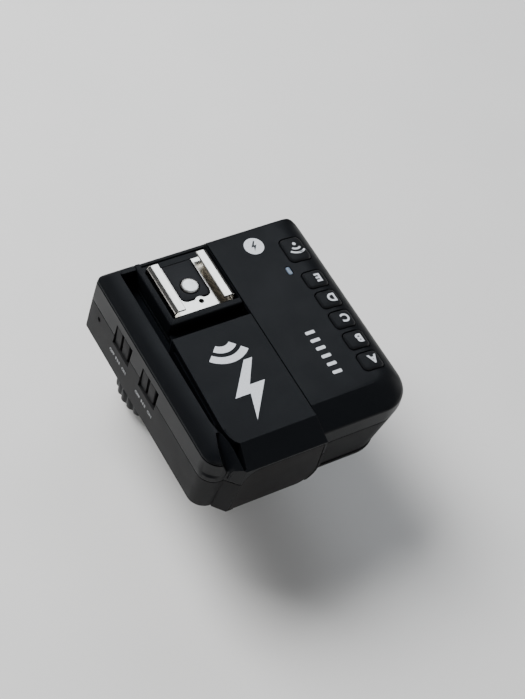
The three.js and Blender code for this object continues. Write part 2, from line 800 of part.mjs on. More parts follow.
function syncSocket() {
  const body = cylinderX(-3.4, 25.6, 1.4, -31, -24, 14);
  return cut(body, cylinderX(-3.4, 25.6, 0.9, -32, -26, 12));
}

function caseScrew([x, y]) {
  const z = COLUMN.bottom + 0.1;
  const head = cylinderZ(x, y, 1.9, z, z + 0.6, 12);
  return cut(head, box(x - 1.3, y - 0.25, z - 1, x + 1.3, y + 0.25, z + 0.3));
}

// ---- finishes ----
const finishes = {
  blackPlastic: new THREE.MeshStandardMaterial({ color: 0x1b1c1e, roughness: 0.62 }),
  greyPlastic: new THREE.MeshStandardMaterial({ color: 0x2a2b2c, roughness: 0.66 }),
  keyRubber: new THREE.MeshStandardMaterial({ color: 0x1f2022, roughness: 0.75 }),
  nickel: new THREE.MeshStandardMaterial({ color: 0xcfcabd, roughness: 0.25, metalness: 1 }),
  screen: new THREE.MeshStandardMaterial({ color: 0x0a0c0e, roughness: 0.1 }),
  board: new THREE.MeshStandardMaterial({ color: 0x174a2b, roughness: 0.5 }),
  cell: new THREE.MeshStandardMaterial({ color: 0x8d8f92, roughness: 0.4, metalness: 0.5 }),
  lamp: new THREE.MeshStandardMaterial({ color: 0x3a0d10, roughness: 0.12 }),
  lens: new THREE.MeshStandardMaterial({ color: 0x7f93b4, roughness: 0.3 }),
};

const group = new THREE.Group();

function place(name, manifold, finish) {
  const mesh = new THREE.Mesh(geometryOf(manifold), finish);
  mesh.name = name;
  group.add(mesh);
}

place("top_cover_left", topCoverLeft(), finishes.blackPlastic);
place("top_cover_right", topCoverRight(), finishes.blackPlastic);
place("lower_case", lowerCase(), finishes.greyPlastic);
place("base_housing", baseHousing(), finishes.greyPlastic);
place("rear_bezel", rearBezel(), finishes.blackPlastic);
place("shoe_seat", shoeSeat(), finishes.blackPlastic);
place("shoe_rails", shoeRails(), finishes.nickel);
place("shoe_insulator", shoeInsulator(), finishes.blackPlastic);
place("shoe_contact", shoeContact(), finishes.nickel);
keyPlaces().forEach(({ letter, y }) => place("group_key_" + letter, topKey(y, KEY), finishes.keyRubber));
place("wireless_key", topKey(WIRELESS_KEY.y, WIRELESS_KEY), finishes.keyRubber);
place("wireless_lamp_lens", lampHole(0), finishes.lens);
["focus_switch", "power_switch"].forEach((name, i) => {
  place(name + "_knob", switchKnob(i), finishes.greyPlastic);
  place(name + "_body", switchBody(i), finishes.nickel);
});
place("screen_window", screenWindow(), finishes.screen);
place("screen_module", screenModule(), finishes.screen);
functionKeyPlaces().forEach(({ name, x }) => place(name, functionKey(x), finishes.keyRubber));
ROUND_KEYS.forEach((key) => place(key.name, rearRoundKey(key), finishes.keyRubber));
place(
  "test_lamp_lens",
  cylinderY(TEST_LAMP.x, TEST_LAMP.z, TEST_LAMP.radius, REAR - GAP - BEZEL.thickness, REAR + 1, 12),
  finishes.lens,
);
place("select_dial", selectDial(), finishes.blackPlastic);
place("set_key", setKey(), finishes.keyRubber);
place("dial_encoder", dialEncoder(), finishes.nickel);
place("assist_lamp_window", windowBlock(0), finishes.lamp);
place("assist_lamp", assistLamp(), finishes.lens);
place("foot", footPiece(), finishes.blackPlastic);
FOOT_CONTACTS.forEach((contact) => place(contact.name, footContact(contact), finishes.nickel));
place("lock_pin", lockPin(), finishes.nickel);
place("pressure_plate", pressurePlate(), finishes.nickel);
place("lock_ring", lockRing(), finishes.blackPlastic);
place("battery_door", batteryDoor(), finishes.greyPlastic);
[0, 1].forEach((i) => {
  place("battery_cell_" + (i + 1), batteryCell(i), finishes.cell);
  place("cell_spring_" + (i + 1), cellSpring(i), finishes.nickel);
  place("cell_plate_" + (i + 1), cellPlate(i), finishes.nickel);
});
place("main_board", mainBoard(), finishes.board);
place("key_board", keyBoard(), finishes.board);
place("usb_socket", usbSocket(), finishes.nickel);
place("sync_socket", syncSocket(), finishes.nickel);
CASE_SCREWS.forEach((at, i) => place("case_screw_" + (i + 1), caseScrew(at), finishes.nickel));

export default group;
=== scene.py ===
import math

import bmesh
import bpy
from mathutils import Matrix, Vector


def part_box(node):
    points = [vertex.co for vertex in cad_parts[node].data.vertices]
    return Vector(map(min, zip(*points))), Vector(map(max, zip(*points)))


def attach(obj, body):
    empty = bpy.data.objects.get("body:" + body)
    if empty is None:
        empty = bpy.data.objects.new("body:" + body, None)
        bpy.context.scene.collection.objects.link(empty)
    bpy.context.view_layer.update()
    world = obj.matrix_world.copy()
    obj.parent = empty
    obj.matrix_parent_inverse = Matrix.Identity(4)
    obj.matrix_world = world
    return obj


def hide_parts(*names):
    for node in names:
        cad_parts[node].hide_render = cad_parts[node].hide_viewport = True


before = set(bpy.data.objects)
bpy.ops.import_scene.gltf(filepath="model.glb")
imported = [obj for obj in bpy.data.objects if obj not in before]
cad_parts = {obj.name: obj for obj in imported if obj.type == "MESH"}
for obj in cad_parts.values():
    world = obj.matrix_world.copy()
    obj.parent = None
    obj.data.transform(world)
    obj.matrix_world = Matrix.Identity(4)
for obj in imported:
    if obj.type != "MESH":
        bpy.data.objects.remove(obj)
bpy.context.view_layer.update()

# ------ shape data, in millimetres
MM = 0.001
REAR, RIGHT, LEFT = -11.4, 25.8, -43.4
DECK_TOP, PARTING, DECK_BOTTOM = 57.5, 48.8, 36.0
SEAM_X = -10.9
GAP = 0.15  # half the width of the seams between the covers and the lower case
NOSE_FRONT, LEFT_FRONT, RIGHT_FRONT = 63.0, 60.3, 59.7
LEAN_START, LEAN = 50.5, 0.41  # the left wall leans inwards below this height
LOWER_DRAFT, UPPER_DRAFT, FRONT_DRAFT = 0.0625, 0.08, 0.03  # slopes of the other walls
WALL = 1.8
KEY_X = -35.3
KEY_YS = [44.7 - 8 * i for i in range(5)]
GROUP_KEY = (7, 6.2, 1.4)  # width, length and corner radius
WIRELESS_Y = 0.6
WIRELESS_KEY = (7.4, 9, 1.6)
KEY_CLEAR = 0.3


# ------ mesh helpers
def add_object(name, data):
    obj = bpy.data.objects.new(name, data)
    bpy.context.scene.collection.objects.link(obj)
    return obj


def make_object(name, verts, faces):
    """A mesh object from points in millimetres, with its faces turned outwards."""
    mesh = bpy.data.meshes.new(name)
    mesh.from_pydata([Vector(v) * MM for v in verts], [], faces)
    mesh.validate()
    obj = add_object(name, mesh)
    bm = bmesh.new()
    bm.from_mesh(mesh)
    bmesh.ops.remove_doubles(bm, verts=bm.verts, dist=1e-6)
    bmesh.ops.recalc_face_normals(bm, faces=bm.faces)
    bm.to_mesh(mesh)
    bm.free()
    return obj


def rounded(corners, steps=6):
    """An outline whose corners (x, y, radius) are rounded."""
    points = []
    count = len(corners)
    for i, (x, y, radius) in enumerate(corners):
        if not radius:
            points.append((x, y))
            continue
        at = Vector((x, y))
        before = (Vector(corners[i - 1][:2]) - at).normalized()
        after = (Vector(corners[(i + 1) % count][:2]) - at).normalized()
        half = math.acos(max(-1, min(1, before.dot(after)))) / 2
        reach = radius / math.tan(half)
        start, end = at + before * reach, at + after * reach
        for k in range(steps + 1):
            t = k / steps
            w = ((1 - t) ** 2, 2 * t * (1 - t) * math.sin(half), t * t)
            p = (start * w[0] + at * w[1] + end * w[2]) / sum(w)
            points.append((p.x, p.y))
    return points


def rect(x0, y0, x1, y1, radius=0, steps=6):
    return rounded([(x0, y0, radius), (x1, y0, radius), (x1, y1, radius), (x0, y1, radius)], steps)


def circle(x, y, radius, sides=64):
    turn = 2 * math.pi / sides
    return [(x + radius * math.cos(k * turn), y + radius * math.sin(k * turn)) for k in range(sides)]


def inset(points, distance):
    """The outline moved inwards by distance (outwards if negative); points run anticlockwise."""
    if not distance:
        return list(points)
    moved = []
    count = len(points)
    for i, p in enumerate(points):
        at = Vector(p)
        a = (at - Vector(points[i - 1])).normalized()
        b = (Vector(points[(i + 1) % count]) - at).normalized()
        normal_a, normal_b = Vector((-a.y, a.x)), Vector((-b.y, b.x))
        middle = (normal_a + normal_b).normalized()
        scale = distance / max(0.35, middle.dot(normal_a))
        moved.append(tuple(at + middle * scale))
    return moved


def to_axis(axis, u, v, w):
    """A point with w along the axis and (u, v) across it."""
    return {"z": (u, v, w), "y": (u, w, v), "x": (w, u, v)}[axis]


def stack(name, rings, axis="z"):
    """Closes a stack of rings [(outline, height), ...] into a solid; outlines have one point count."""
    verts, faces = [], []
    n = len(rings[0][0])
    for outline, height in rings:
        for i, (u, v) in enumerate(outline):
            w = height[i] if isinstance(height, (list, tuple)) else height
            verts.append(to_axis(axis, u, v, w))
    for k in range(len(rings) - 1):
        for i in range(n):
            j = (i + 1) % n
            faces.append((k * n + i, k * n + j, (k + 1) * n + j, (k + 1) * n + i))
    faces.append(tuple(range(n))[::-1])
    faces.append(tuple(range((len(rings) - 1) * n, len(rings) * n)))
    return make_object(name, verts, faces)


def prism(name, outline, low, high, axis="z", edge=0.0, top=None, steps=3):
    """An outline made solid from low to high, with rounded rims of radius edge below and top above."""
    top = edge if top is None else top
    rings = []
    for k in range(steps + 1 if edge else 1):
        a = math.pi / 2 * (1 - k / steps)
        rings.append((inset(outline, edge * (1 - math.cos(a))), low + edge * (1 - math.sin(a))))
    for k in range(steps + 1 if top else 1):
        a = math.pi / 2 * k / steps
        rings.append((inset(outline, top * (1 - math.cos(a))), high - top * (1 - math.sin(a))))
    return stack(name, rings, axis)


def block(x0, y0, z0, x1, y1, z1):
    return prism("cutter", rect(x0, y0, x1, y1), z0, z1)


def slab(outline, low, high):
    """A cutter that stands along Z."""
    return prism("cutter", outline, low, high)


def across(outline, x0, x1):
    """A cutter with an outline in Y and Z."""
    return prism("cutter", outline, x0, x1, "x")


def behind(outline, y0, y1):
    """A cutter with an outline in X and Z."""
    return prism("cutter", outline, y0, y1, "y")


def combine(target, tools, operation="DIFFERENCE"):
    """Applies booleans to target and removes the tools."""
    for tool in tools:
        modifier = target.modifiers.new("cut", "BOOLEAN")
        modifier.operation = operation
        modifier.solver = "EXACT"
        modifier.object = tool
    bake(target)
    for tool in tools:
        bpy.data.objects.remove(tool)
    return target


def bake(obj):
    """Makes the modifiers' result the object's own mesh."""
    graph = bpy.context.evaluated_depsgraph_get()
    graph.update()
    mesh = bpy.data.meshes.new_from_object(obj.evaluated_get(graph))
    obj.modifiers.clear()
    obj.data = mesh
    return obj


def tidy(obj, distance):
    """Merges points closer than distance and flat neighbouring faces."""
    bm = bmesh.new()
    bm.from_mesh(obj.data)
    bmesh.ops.remove_doubles(bm, verts=bm.verts, dist=distance * MM)
    bmesh.ops.dissolve_degenerate(bm, edges=bm.edges, dist=distance * MM)
    bmesh.ops.dissolve_limit(bm, angle_limit=math.radians(0.6), verts=bm.verts, edges=bm.edges)
    bm.to_mesh(obj.data)
    bm.free()


def smooth(obj, angle=38):
    """Shades smooth, except over edges that turn by more than angle degrees."""
    mesh = obj.data
    mesh.shade_smooth()
    bm = bmesh.new()
    bm.from_mesh(mesh)
    limit = math.radians(angle)
    for edge in bm.edges:
        edge.smooth = len(edge.link_faces) == 2 and edge.calc_face_angle(0) < limit
    bm.to_mesh(mesh)
    bm.free()


def piece(obj, name, body, material, nodes=(), angle=38):
    """Names a finished piece, gives it its material and ties it to the frame."""
    obj.name = name
    obj.data.name = name
    obj.data.materials.clear()
    obj.data.materials.append(material)
    smooth(obj, angle)
    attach(obj, body)
    if nodes:
        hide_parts(*nodes)


# ------ deck form
ROLL_X, ROLL_Z = 9.4, 6.2  # size of the rolled left edge, across and down
KEY_LIFT = 0.38  # how far the caps stand proud of the deck
SLOPE_START = 55.3
SLOPE = (DECK_TOP - 54.7) / (NOSE_FRONT - SLOPE_START)


def path_at(path, t):
    """Position on a path [(t, across, z), ...] at parameter t."""
    for (t0, a0, z0), (t1, a1, z1) in zip(path, path[1:]):
        if t <= t1 + 1e-9:
            s = (t - t0) / (t1 - t0)
            return a0 + (a1 - a0) * s, z0 + (z1 - z0) * s
    return path[-1][1:]


def arc_path(t0, t1, a_center, z_center, ra, rz, start, end, steps=6):
    """Part of a path that follows an ellipse from angle start to end, in degrees."""
    out = []
    for k in range(steps + 1):
        s = k / steps
        a = math.radians(start + (end - start) * s)
        out.append((t0 + (t1 - t0) * s, a_center + ra * math.cos(a), z_center + rz * math.sin(a)))
    return out


ROLL_START = DECK_TOP - ROLL_Z
LEFT_PATH = [(0, LEFT, ROLL_START)]
LEFT_PATH += arc_path(0.02, 1, LEFT + ROLL_X, ROLL_START, -ROLL_X, ROLL_Z, 0, 90, 16)
FRONT_PATH = [(0, LEFT_FRONT, ROLL_START), (0.2, LEFT_FRONT, 54.1)]
FRONT_PATH += arc_path(0.22, 0.4, LEFT_FRONT - 0.7, 54.15, 0.7, 0.7, 5, 70, 4) + [(1, 52.0, DECK_TOP)]
REAR_PATH = [(0, REAR, ROLL_START), (0.3, REAR, 56.9)]
REAR_PATH += arc_path(0.32, 1, REAR + 0.6, 56.9, -0.6, 0.6, 5, 90, 5)
SIDE_PATH = [(0, 25.6, ROLL_START), (0.2, 25.2, 55.95), (0.205, 24.75, 56.0)]
SIDE_PATH += [(0.225, 24.75, 56.25), (0.23, 25.05, 56.3)]
SIDE_PATH += arc_path(0.24, 0.8, 19.2, 56.2, 5.85, 1.7, 5, 92, 9)
SIDE_PATH += [(0.9, 18.0, 57.8), (1, 17.5, DECK_TOP)]
CORNER_PATH = [(0, RIGHT_FRONT, ROLL_START), (0.2, RIGHT_FRONT, 55.95), (0.205, 59.3, 56.0)]
CORNER_PATH += [(0.225, 59.3, 56.25), (0.23, 59.6, 56.3)]
CORNER_PATH += arc_path(0.24, 0.8, 54.2, 56.2, 5.35, 1.7, 5, 90, 9)
CORNER_PATH += [(0.9, 52.6, 57.8), (1, 51.4, DECK_TOP)]
TOP_STEPS = [
    0, 0.1, 0.2, 0.205, 0.225, 0.23, 0.25, 0.3, 0.35, 0.4, 0.46, 0.52, 0.58, 0.65, 0.72, 0.8, 0.9, 0.96, 1,
]


def right_wall(z):
    """Where the right wall stands at height z."""
    if z < PARTING:
        return RIGHT + LOWER_DRAFT * (PARTING - z)
    return RIGHT - UPPER_DRAFT * (z - PARTING)


def corner(x, y, radius, steps, z_in, z_out, at_in, at_out):
    """Points and heights round one corner, from direction at_in to at_out (unit vectors along the sides)."""
    points = []
    start = Vector((x, y)) - Vector(at_in) * radius
    end = Vector((x, y)) + Vector(at_out) * radius
    center = start + Vector(at_out) * radius
    for k in range(steps + 1):
        a = math.pi / 2 * k / steps
        p = center + (start - center) * math.cos(a) + (end - center) * math.sin(a)
        s = (1 - math.cos(a * 2)) / 2
        points.append((p.x, p.y, z_in + (z_out - z_in) * s))
    return points


def deck_ring(sides, radii, thick):
    """One closed ring round the deck, with every side moved inwards by thick.

    sides: (place, height) of the left, left front, rear, right and right front.
    """
    (left, left_z), (front, front_z), (rear, rear_z), (side, side_z), (right_front, right_front_z) = sides
    left, rear = left + thick, rear + thick
    front, side, right_front = front - thick, side - thick, right_front - thick
    r_rear, r_side, r_front, r_left = [max(r - thick, 0.3) for r in radii]
    ring = corner(side, rear, r_rear, 5, rear_z, side_z, (1, 0), (0, 1))
    ring += corner(side, right_front, r_side, 14, side_z, right_front_z, (0, 1), (-1, 0))
    ring += [(SEAM_X, right_front, right_front_z), (SEAM_X - 0.01, front, front_z)]
    ring += corner(left, front, r_front, 20, front_z, left_z, (-1, 0), (0, -1))
    ring += corner(left, rear, r_left, 8, left_z, rear_z, (0, -1), (1, 0))
    return ring


def wall_rings(thick):
    """Rings up the deck's walls. Outside, pull rounds the bottom edge."""
    rings = []
    low = DECK_BOTTOM + thick
    for z, pull in ((low, 0.45), (low + 0.13, 0.13), (low + 0.45, 0), (PARTING, 0), (49.9, 0), (50.6, 0)):
        pull = 0 if thick else pull
        left = LEFT + LEAN * max(0, LEAN_START - z) + (0.05 if z > 50 else 0)
        front = LEFT_FRONT - FRONT_DRAFT * max(0, PARTING - z)
        right_front = RIGHT_FRONT - FRONT_DRAFT * max(0, PARTING - z)
        places = (left + pull, front - pull, REAR + pull, right_wall(z) - pull, right_front - pull)
        rings.append(deck_ring([(place, z) for place in places], (1.5, 5, 11.3, 4), thick))
    return rings


def top_rings(thick):
    """Rings over the rolled, sloped and shouldered edges onto the flat top."""
    rings = []
    for t in TOP_STEPS:
        sides = [path_at(p, t) for p in (LEFT_PATH, FRONT_PATH, REAR_PATH, SIDE_PATH, CORNER_PATH)]
        rolled = sides[0][0] - LEFT
        shouldered = RIGHT - sides[3][0]
        r_rear = max(0.6, 1.5 - rolled * 0.1)
        r_side = max(0.6, 6 - shouldered * 0.6)
        r_front = max(2.2, 11.3 - rolled * 0.95)
        sides = [(place, z - thick * (z - ROLL_START) / ROLL_Z) for place, z in sides]
        rings.append(deck_ring(sides, (r_rear, r_side, r_front, 4), thick))
    return rings


def deck_solid(thick):
    """The deck without its nose, made smaller by thick."""
    rings = wall_rings(thick) + top_rings(thick)
    return stack("deck", [([(x, y) for x, y, z in ring], [z for x, y, z in ring]) for ring in rings])


def slope_cutter(x0, x1, start, drop=0.0):
    """What lies above the sloped front of the nose between x0 and x1."""
    far, high = 70, 66
    level = DECK_TOP - drop
    profile = [(start, level), (far, level - SLOPE * (far - start)), (far, high), (start, high)]
    if drop == 0:
        profile = [(40, DECK_TOP)] + profile[:-1] + [(40, high)]
    return across(profile, x0, x1)


NOSE_ARC_X, NOSE_ARC_Z = -3.9, 42.6


def nose_arc(radius):
    """Points round the nose's low left corner, in X and Z, from the bottom up."""
    angles = [k * math.pi / 20 for k in range(1, 10)]
    return [(NOSE_ARC_X - radius * math.sin(a), NOSE_ARC_Z - radius * math.cos(a)) for a in angles]


def nose_ring(root, shoulder, tip, thick):
    """The nose's outline at one height; its right side bends at x = root, shoulder and tip."""
    left, start, front = SEAM_X + thick, 50, NOSE_FRONT - thick
    right = [(root - thick, start), (shoulder - thick, RIGHT_FRONT - thick), (tip - thick, front)]
    return [(left, start)] + right + [(left, front)]


def nose_solid(thick):
    """The central nose with its slanted right side and its rounded low left corner."""
    t = thick
    low = nose_ring(20.6, 21.7, 18.7, t)
    high = nose_ring(17.9, 18.5, 14.8, t)
    bottom, top = DECK_BOTTOM, 58
    rings = []
    for z, pull in ((bottom + t, 0.45), (bottom + 0.13 + t, 0.13), (bottom + 0.45 + t, 0), (top - t, 0)):
        s = (z - bottom) / (top - bottom)
        ring = [(a[0] + (b[0] - a[0]) * s, a[1] + (b[1] - a[1]) * s) for a, b in zip(low, high)]
        rings.append((inset(ring, 0 if t else pull), z))
    nose = combine(stack("nose", rings), [slope_cutter(-12, 30, SLOPE_START, t)])
    radius = NOSE_ARC_Z - DECK_BOTTOM
    low_corner = [(-13, 34), (NOSE_ARC_X, 34), (NOSE_ARC_X, DECK_BOTTOM)] + nose_arc(radius)
    low_corner += [(-10.6, NOSE_ARC_Z), (-13, NOSE_ARC_Z)]
    low_corner = [(x + t, z + t) for x, z in low_corner]
    return combine(nose, [behind(low_corner, 60.4 - t, 66)])


def band_solid():
    """Fills the corner between the shoulder's front end and the nose, under the slanted band."""
    rear = [(15.5, 50), (18.9, 50), (18.5, 56.3), (17.7, 57.2), (15.9, 57.6), (15.5, 57.6)]
    front = [(15.5, 50), (19.3, 50), (18.9, 53.2), (17.6, 54.4), (15.9, 55.6), (15.5, 55.6)]
    return stack("band", [(rear, 49.6), (front, 60.6)], "y")


def whole_deck(thick=0.0):
    """Deck and nose in one solid; only the outer one (thick 0) gets the slope and the band."""
    deck = deck_solid(thick)
    if not thick:
        combine(deck, [slope_cutter(SEAM_X + 0.02, 17.2, SLOPE_START)])
        return combine(deck, [nose_solid(thick), band_solid()], "UNION")
    return combine(deck, [nose_solid(thick)], "UNION")


# ------ openings
SWITCH_YS = [4.0, 20.3]
ROUND_KEYS = {
    "mode_key": (10.6, 44.6),
    "channel_key": (10.6, 36.6),
    "test_key": (19.4, 44.6),
    "menu_key": (-17, 19.4),
}
FUNCTION_XS = [-27, -18, -9, 0]
FUNCTION_Z = 29.6
DIAL_X, DIAL_Z = 4.6, 19.6
TEST_LAMP = (21, 51)
DISPLAY = (-33, 34, 3, 50)


def key_outline(y, width, length, radius, clear=0.0):
    half_x, half_y = width / 2 + clear, length / 2 + clear
    return rect(KEY_X - half_x, y - half_y, KEY_X + half_x, y + half_y, radius + clear, 5)


def lens_outline(grow, radius):
    """The lamp lens beside the wireless key, in X and Y, grown by grow."""
    return rect(-30.1 - grow, 5.7 - grow, -28.7 + grow, 8.7 + grow, radius)


def function_outline(x, half_x, half_z, radius, steps=6):
    """A rounded bar in the row of function keys, in X and Z."""
    return rect(x - half_x, FUNCTION_Z - half_z, x + half_x, FUNCTION_Z + half_z, radius, steps)


def display_outline(grow, radius):
    """The display's outline, in X and Z, grown by grow."""
    x0, z0, x1, z1 = DISPLAY
    return rect(x0 - grow, z0 - grow, x1 + grow, z1 + grow, radius)


def rear_cutters(y0, y1):
    """The openings of the rear keys and the test lamp."""
    tools = [behind(circle(x, z, 3.2, 40), y0, y1) for x, z in ROUND_KEYS.values()]
    tools += [behind(function_outline(x, 3.6, 2.0, 1.1), y0, y1) for x in FUNCTION_XS]
    tools.append(behind(circle(*TEST_LAMP, 1.2, 24), y0, y1))
    return tools


def dial_hole(y0, y1):
    return behind(circle(DIAL_X, DIAL_Z, 2.6, 36), y0, y1)


def switch_cutter(y):
    return block(22.9, y, 45.7, 28, y + 9.8, 53.4)


def nose_panel(grow=0.0):
    """The outline, in X and Z, of the dark panel that covers the nose's front."""
    radius = 6.2 + grow
    top = 54.1 + grow
    corners = [
        (NOSE_ARC_X, NOSE_ARC_Z - radius, 0), (18.15 + grow, NOSE_ARC_Z - radius, 0.6),
        (15.05 + grow, top, 6), (NOSE_ARC_X - radius, top, 0.5), (NOSE_ARC_X - radius, NOSE_ARC_Z, 0),
    ]
    corners += [(x, z, 0) for x, z in reversed(nose_arc(radius))]
    return rounded(corners)


def lamp_cutter():
    return behind(rect(-3.8, 42, 11.8, 51, 1.9), 60.4, 66)


# ------ casings
def trench_cutter():
    """The dip in front of the shoe seat; its front side curves up."""
    angles = [k * math.pi / 16 for k in range(9)]
    curve = [(13.6 + 3.4 * math.sin(a), 57.5 - 4.5 * math.cos(a)) for a in angles]
    return across([(11, 53)] + curve + [(17, 60), (11, 60)], SEAM_X - 1, 16.6)


def valley_cutter():
    """The groove between the central panel and the right shoulder; it turns in and narrows at the front."""
    rear = [(13.04, -9.4), (13.04, 14)]
    inner = [(15.1, 17), (16.1, 47), (16.1, 50.2), (15.75, 52.3), (14.95, 54.2)]
    inner += [(13.85, 55.4), (14.3, 58), (15.15, 62.4)]
    outer = [(15.95, 62.4), (16.0, 56), (16.3, 53.4), (17.0, 50.8), (17.9, 48.8), (18.35, 46), (18.35, -9.4)]
    return slab(rear + inner + outer, 50, 60)


def chamfer_cutter():
    """The slanted band outside the groove's front end."""
    rear = [(15.9, 58.0), (17.7, 57.2), (18.6, 56.2), (18.9, 60), (15.9, 60)]
    front = [(15.9, 54.75), (16.8, 54.0), (19.9, 50.9), (24, 60), (15.9, 60)]
    return stack("cutter", [(rear, 50.0), (front, 63.6)], "y")


def all_within(x0=-60, y0=-20, z0=20, x1=40, y1=80, z1=70):
    """A cutter that takes all of the casing up to the limits given."""
    return block(x0, y0, z0, x1, y1, z1)


def hollow_deck():
    """The whole deck as a shell, with the openings of the display, rear keys, switches and lamp."""
    inside = combine(whole_deck(WALL), [
        block(SEAM_X - 0.1, -9.6, 50, 19.3, 18.8, 56.4),
        block(12.9, -10.4, 49, 19.3, 62, 54.3),
        block(13.2, 46, 49, 20.4, 62, 57),
    ])
    shell = combine(whole_deck(), [inside])
    combine(shell, [behind(display_outline(0, 1), -12, -9)] + rear_cutters(-12, -9))
    panel_seat = behind(nose_panel(), 62.0, 66)
    return combine(shell, [switch_cutter(y) for y in SWITCH_YS] + [lamp_cutter(), panel_seat])


def cut_left_cover(left):
    combine(left, [all_within(z1=PARTING + GAP), all_within(x0=SEAM_X - GAP)])
    combine(left, [slab(key_outline(y, *GROUP_KEY, KEY_CLEAR), 50, 60) for y in KEY_YS])
    wireless_hole = slab(key_outline(WIRELESS_Y, *WIRELESS_KEY, KEY_CLEAR), 50, 60)
    combine(left, [wireless_hole, slab(lens_outline(0.15, 0.8), 54, 60)])


def cut_right_cover(right):
    combine(right, [all_within(z1=PARTING + GAP), all_within(x1=SEAM_X + GAP)])
    seat_well = block(-12, -13, 51.3, 13.1, 12.7, 60)
    combine(right, [valley_cutter(), trench_cutter(), seat_well])
    combine(right, [chamfer_cutter()])
    tidy(right, 0.004)


def cut_lower_case(lower):
    combine(lower, [all_within(z0=PARTING - GAP)])
    door_pocket = block(-36.8, 25.7, 30, 16.3, 70, 37.2)
    cell_opening = block(-35.7, 26.8, 30, 15.2, 53.6, 39)
    combine(lower, [door_pocket, cell_opening])
    column_opening = block(-33.6, -9.6, 30, 16, 4, 39)
    side_hole = across(circle(-4.7, 45.6, 0.8, 24), 22, 28)
    combine(lower, [column_opening, side_hole])


def make_casings():
    """The left cover, the right cover and the lower case, all cut from one hollow deck."""
    right = hollow_deck()
    left = add_object("left", right.data.copy())
    lower = add_object("lower", right.data.copy())
    cut_left_cover(left)
    cut_right_cover(right)
    cut_lower_case(lower)
    return left, right, lower


# ------ accessory shoe
def make_seat():
    seat = prism("seat", rect(-10.75, -11.35, 13.0, 12.4, 0.5), 51.6, DECK_TOP, edge=0.3)
    combine(seat, [slab(rect(-10.5, -9.3, 11.3, 10.6, 0.4), 54.2, 59)])
    return combine(seat, [block(-10.5, -13, 54.8, 11.3, 0, 59)])


def make_rails():
    """One bent sheet: a base with a round front tab and two sides that fold over into lips."""
    section = [
        (-10.2, 54.5, 0.7), (10.2, 54.5, 0.7), (10.2, 58, 1.7), (6.3, 57.95, 0.25), (6.3, 57.3, 0.14),
        (9.5, 57.3, 1.0), (9.5, 55.2, 0.3), (-9.5, 55.2, 0.3), (-9.5, 57.3, 1.0), (-6.3, 57.3, 0.14),
        (-6.3, 57.95, 0.25), (-10.2, 58, 1.7),
    ]
    bent = prism("rails", rounded(section, 10), -9, 9, "y", edge=0.12, steps=2)
    combine(bent, [slab(rect(-4.9, -11, 4.9, 5.2, 2, 8), 53, 56)])
    tab = prism("tab", circle(-0.6, 6.2, 1.9, 40), 54.5, 55.2, edge=0.06)
    combine(bent, [tab], "UNION")
    return combine(bent, [slab(circle(-0.6, 6.2, 0.8, 28), 52, 58)])


def make_insulator():
    outline = rounded([(-4.6, -9, 0.2), (4.6, -9, 0.2), (4.6, 4.6, 1.7), (-4.6, 4.6, 1.7)], 8)
    body = prism("insulator", outline, 54.5, 55.1, edge=0.1)
    return combine(body, [slab(circle(0, 0, 3.0, 48), 53, 57)])


def make_contact():
    profile = [
        (2.6, 54.5), (2.7, 54.6), (2.7, 55.25), (2.62, 55.42),
        (2.4, 55.52), (2.0, 55.55), (1.2, 55.53), (0.5, 55.5),
    ]
    return stack("contact", [(circle(0, 0, radius), z) for radius, z in profile])


# ------ keys, knobs and dial
def roll_height(x):
    """Height of the deck's surface at x on the rolled left edge."""
    reach = max(-1, min(1, 1 - (x - LEFT) / ROLL_X))
    return DECK_TOP - ROLL_Z + ROLL_Z * math.sqrt(1 - reach * reach) if x < LEFT + ROLL_X else DECK_TOP


CAP_BULGE = 0.07


def make_top_key(y, width, length, radius):
    """A cap that follows the rolled deck and bulges slightly."""
    profile = [(0, -0.9), (0.04, -0.42), (0.14, -0.2), (0.34, -0.06), (0.8, 0.0), (1.6, 0.05)]
    profile.append((2.3, CAP_BULGE))
    rings = [(key_outline(y, width, length, radius), 54.35)]
    for pull, lift in profile:
        half_x, half_y = width / 2 - pull, length / 2 - pull
        corners = max(0.35, radius - pull * 0.5)
        outline = rect(KEY_X - half_x, y - half_y, KEY_X + half_x, y + half_y, corners, 5)
        rings.append((outline, [min(DECK_TOP, roll_height(px)) + lift + KEY_LIFT for px, py in outline]))
    return stack("key", rings)


def make_knob(y):
    """Two ribs with a groove between them."""
    near = y + 0.25
    far = near + 7.7
    body = prism("knob", rect(near, 45.95, far, 53.15, 0.5), 23.2, 25.4, "x", edge=0.05, top=0.3)
    groove = across(rect(near + 3.2, 44, near + 4.4, 55), 24.0, 27)
    return combine(body, [groove])


def make_round_key(x, z):
    profile = [
        (1.2, -13.74), (2.3, -13.86), (2.6, -13.9), (2.78, -13.8),
        (2.88, -13.6), (2.9, -13.35), (2.9, -10.25), (2.85, -10.2),
    ]
    return stack("key", [(circle(x, z, radius, 48), y) for radius, y in profile], "y")


def make_function_key(x):
    return prism("key", function_outline(x, 3.3, 1.7, 1, 5), -13.7, -10.2, "y", edge=0.4, top=0.1)


def knurled(radius, depth, ribs, per_rib=8):
    """A round outline with soft ribs."""
    points = []
    count = ribs * per_rib
    for k in range(count):
        wave = 0.5 - 0.5 * math.cos(2 * math.pi * (k % per_rib) / per_rib)
        r = radius - depth * wave ** 2
        a = 2 * math.pi * k / count
        points.append((r * math.cos(a), r * math.sin(a)))
    return points


def shift(points, dx, dy):
    return [(x + dx, y + dy) for x, y in points]


def scaled_rings(outline, steps):
    """Rings of one outline at (scale, height) steps."""
    return [([(x * s, y * s) for x, y in outline], z) for s, z in steps]


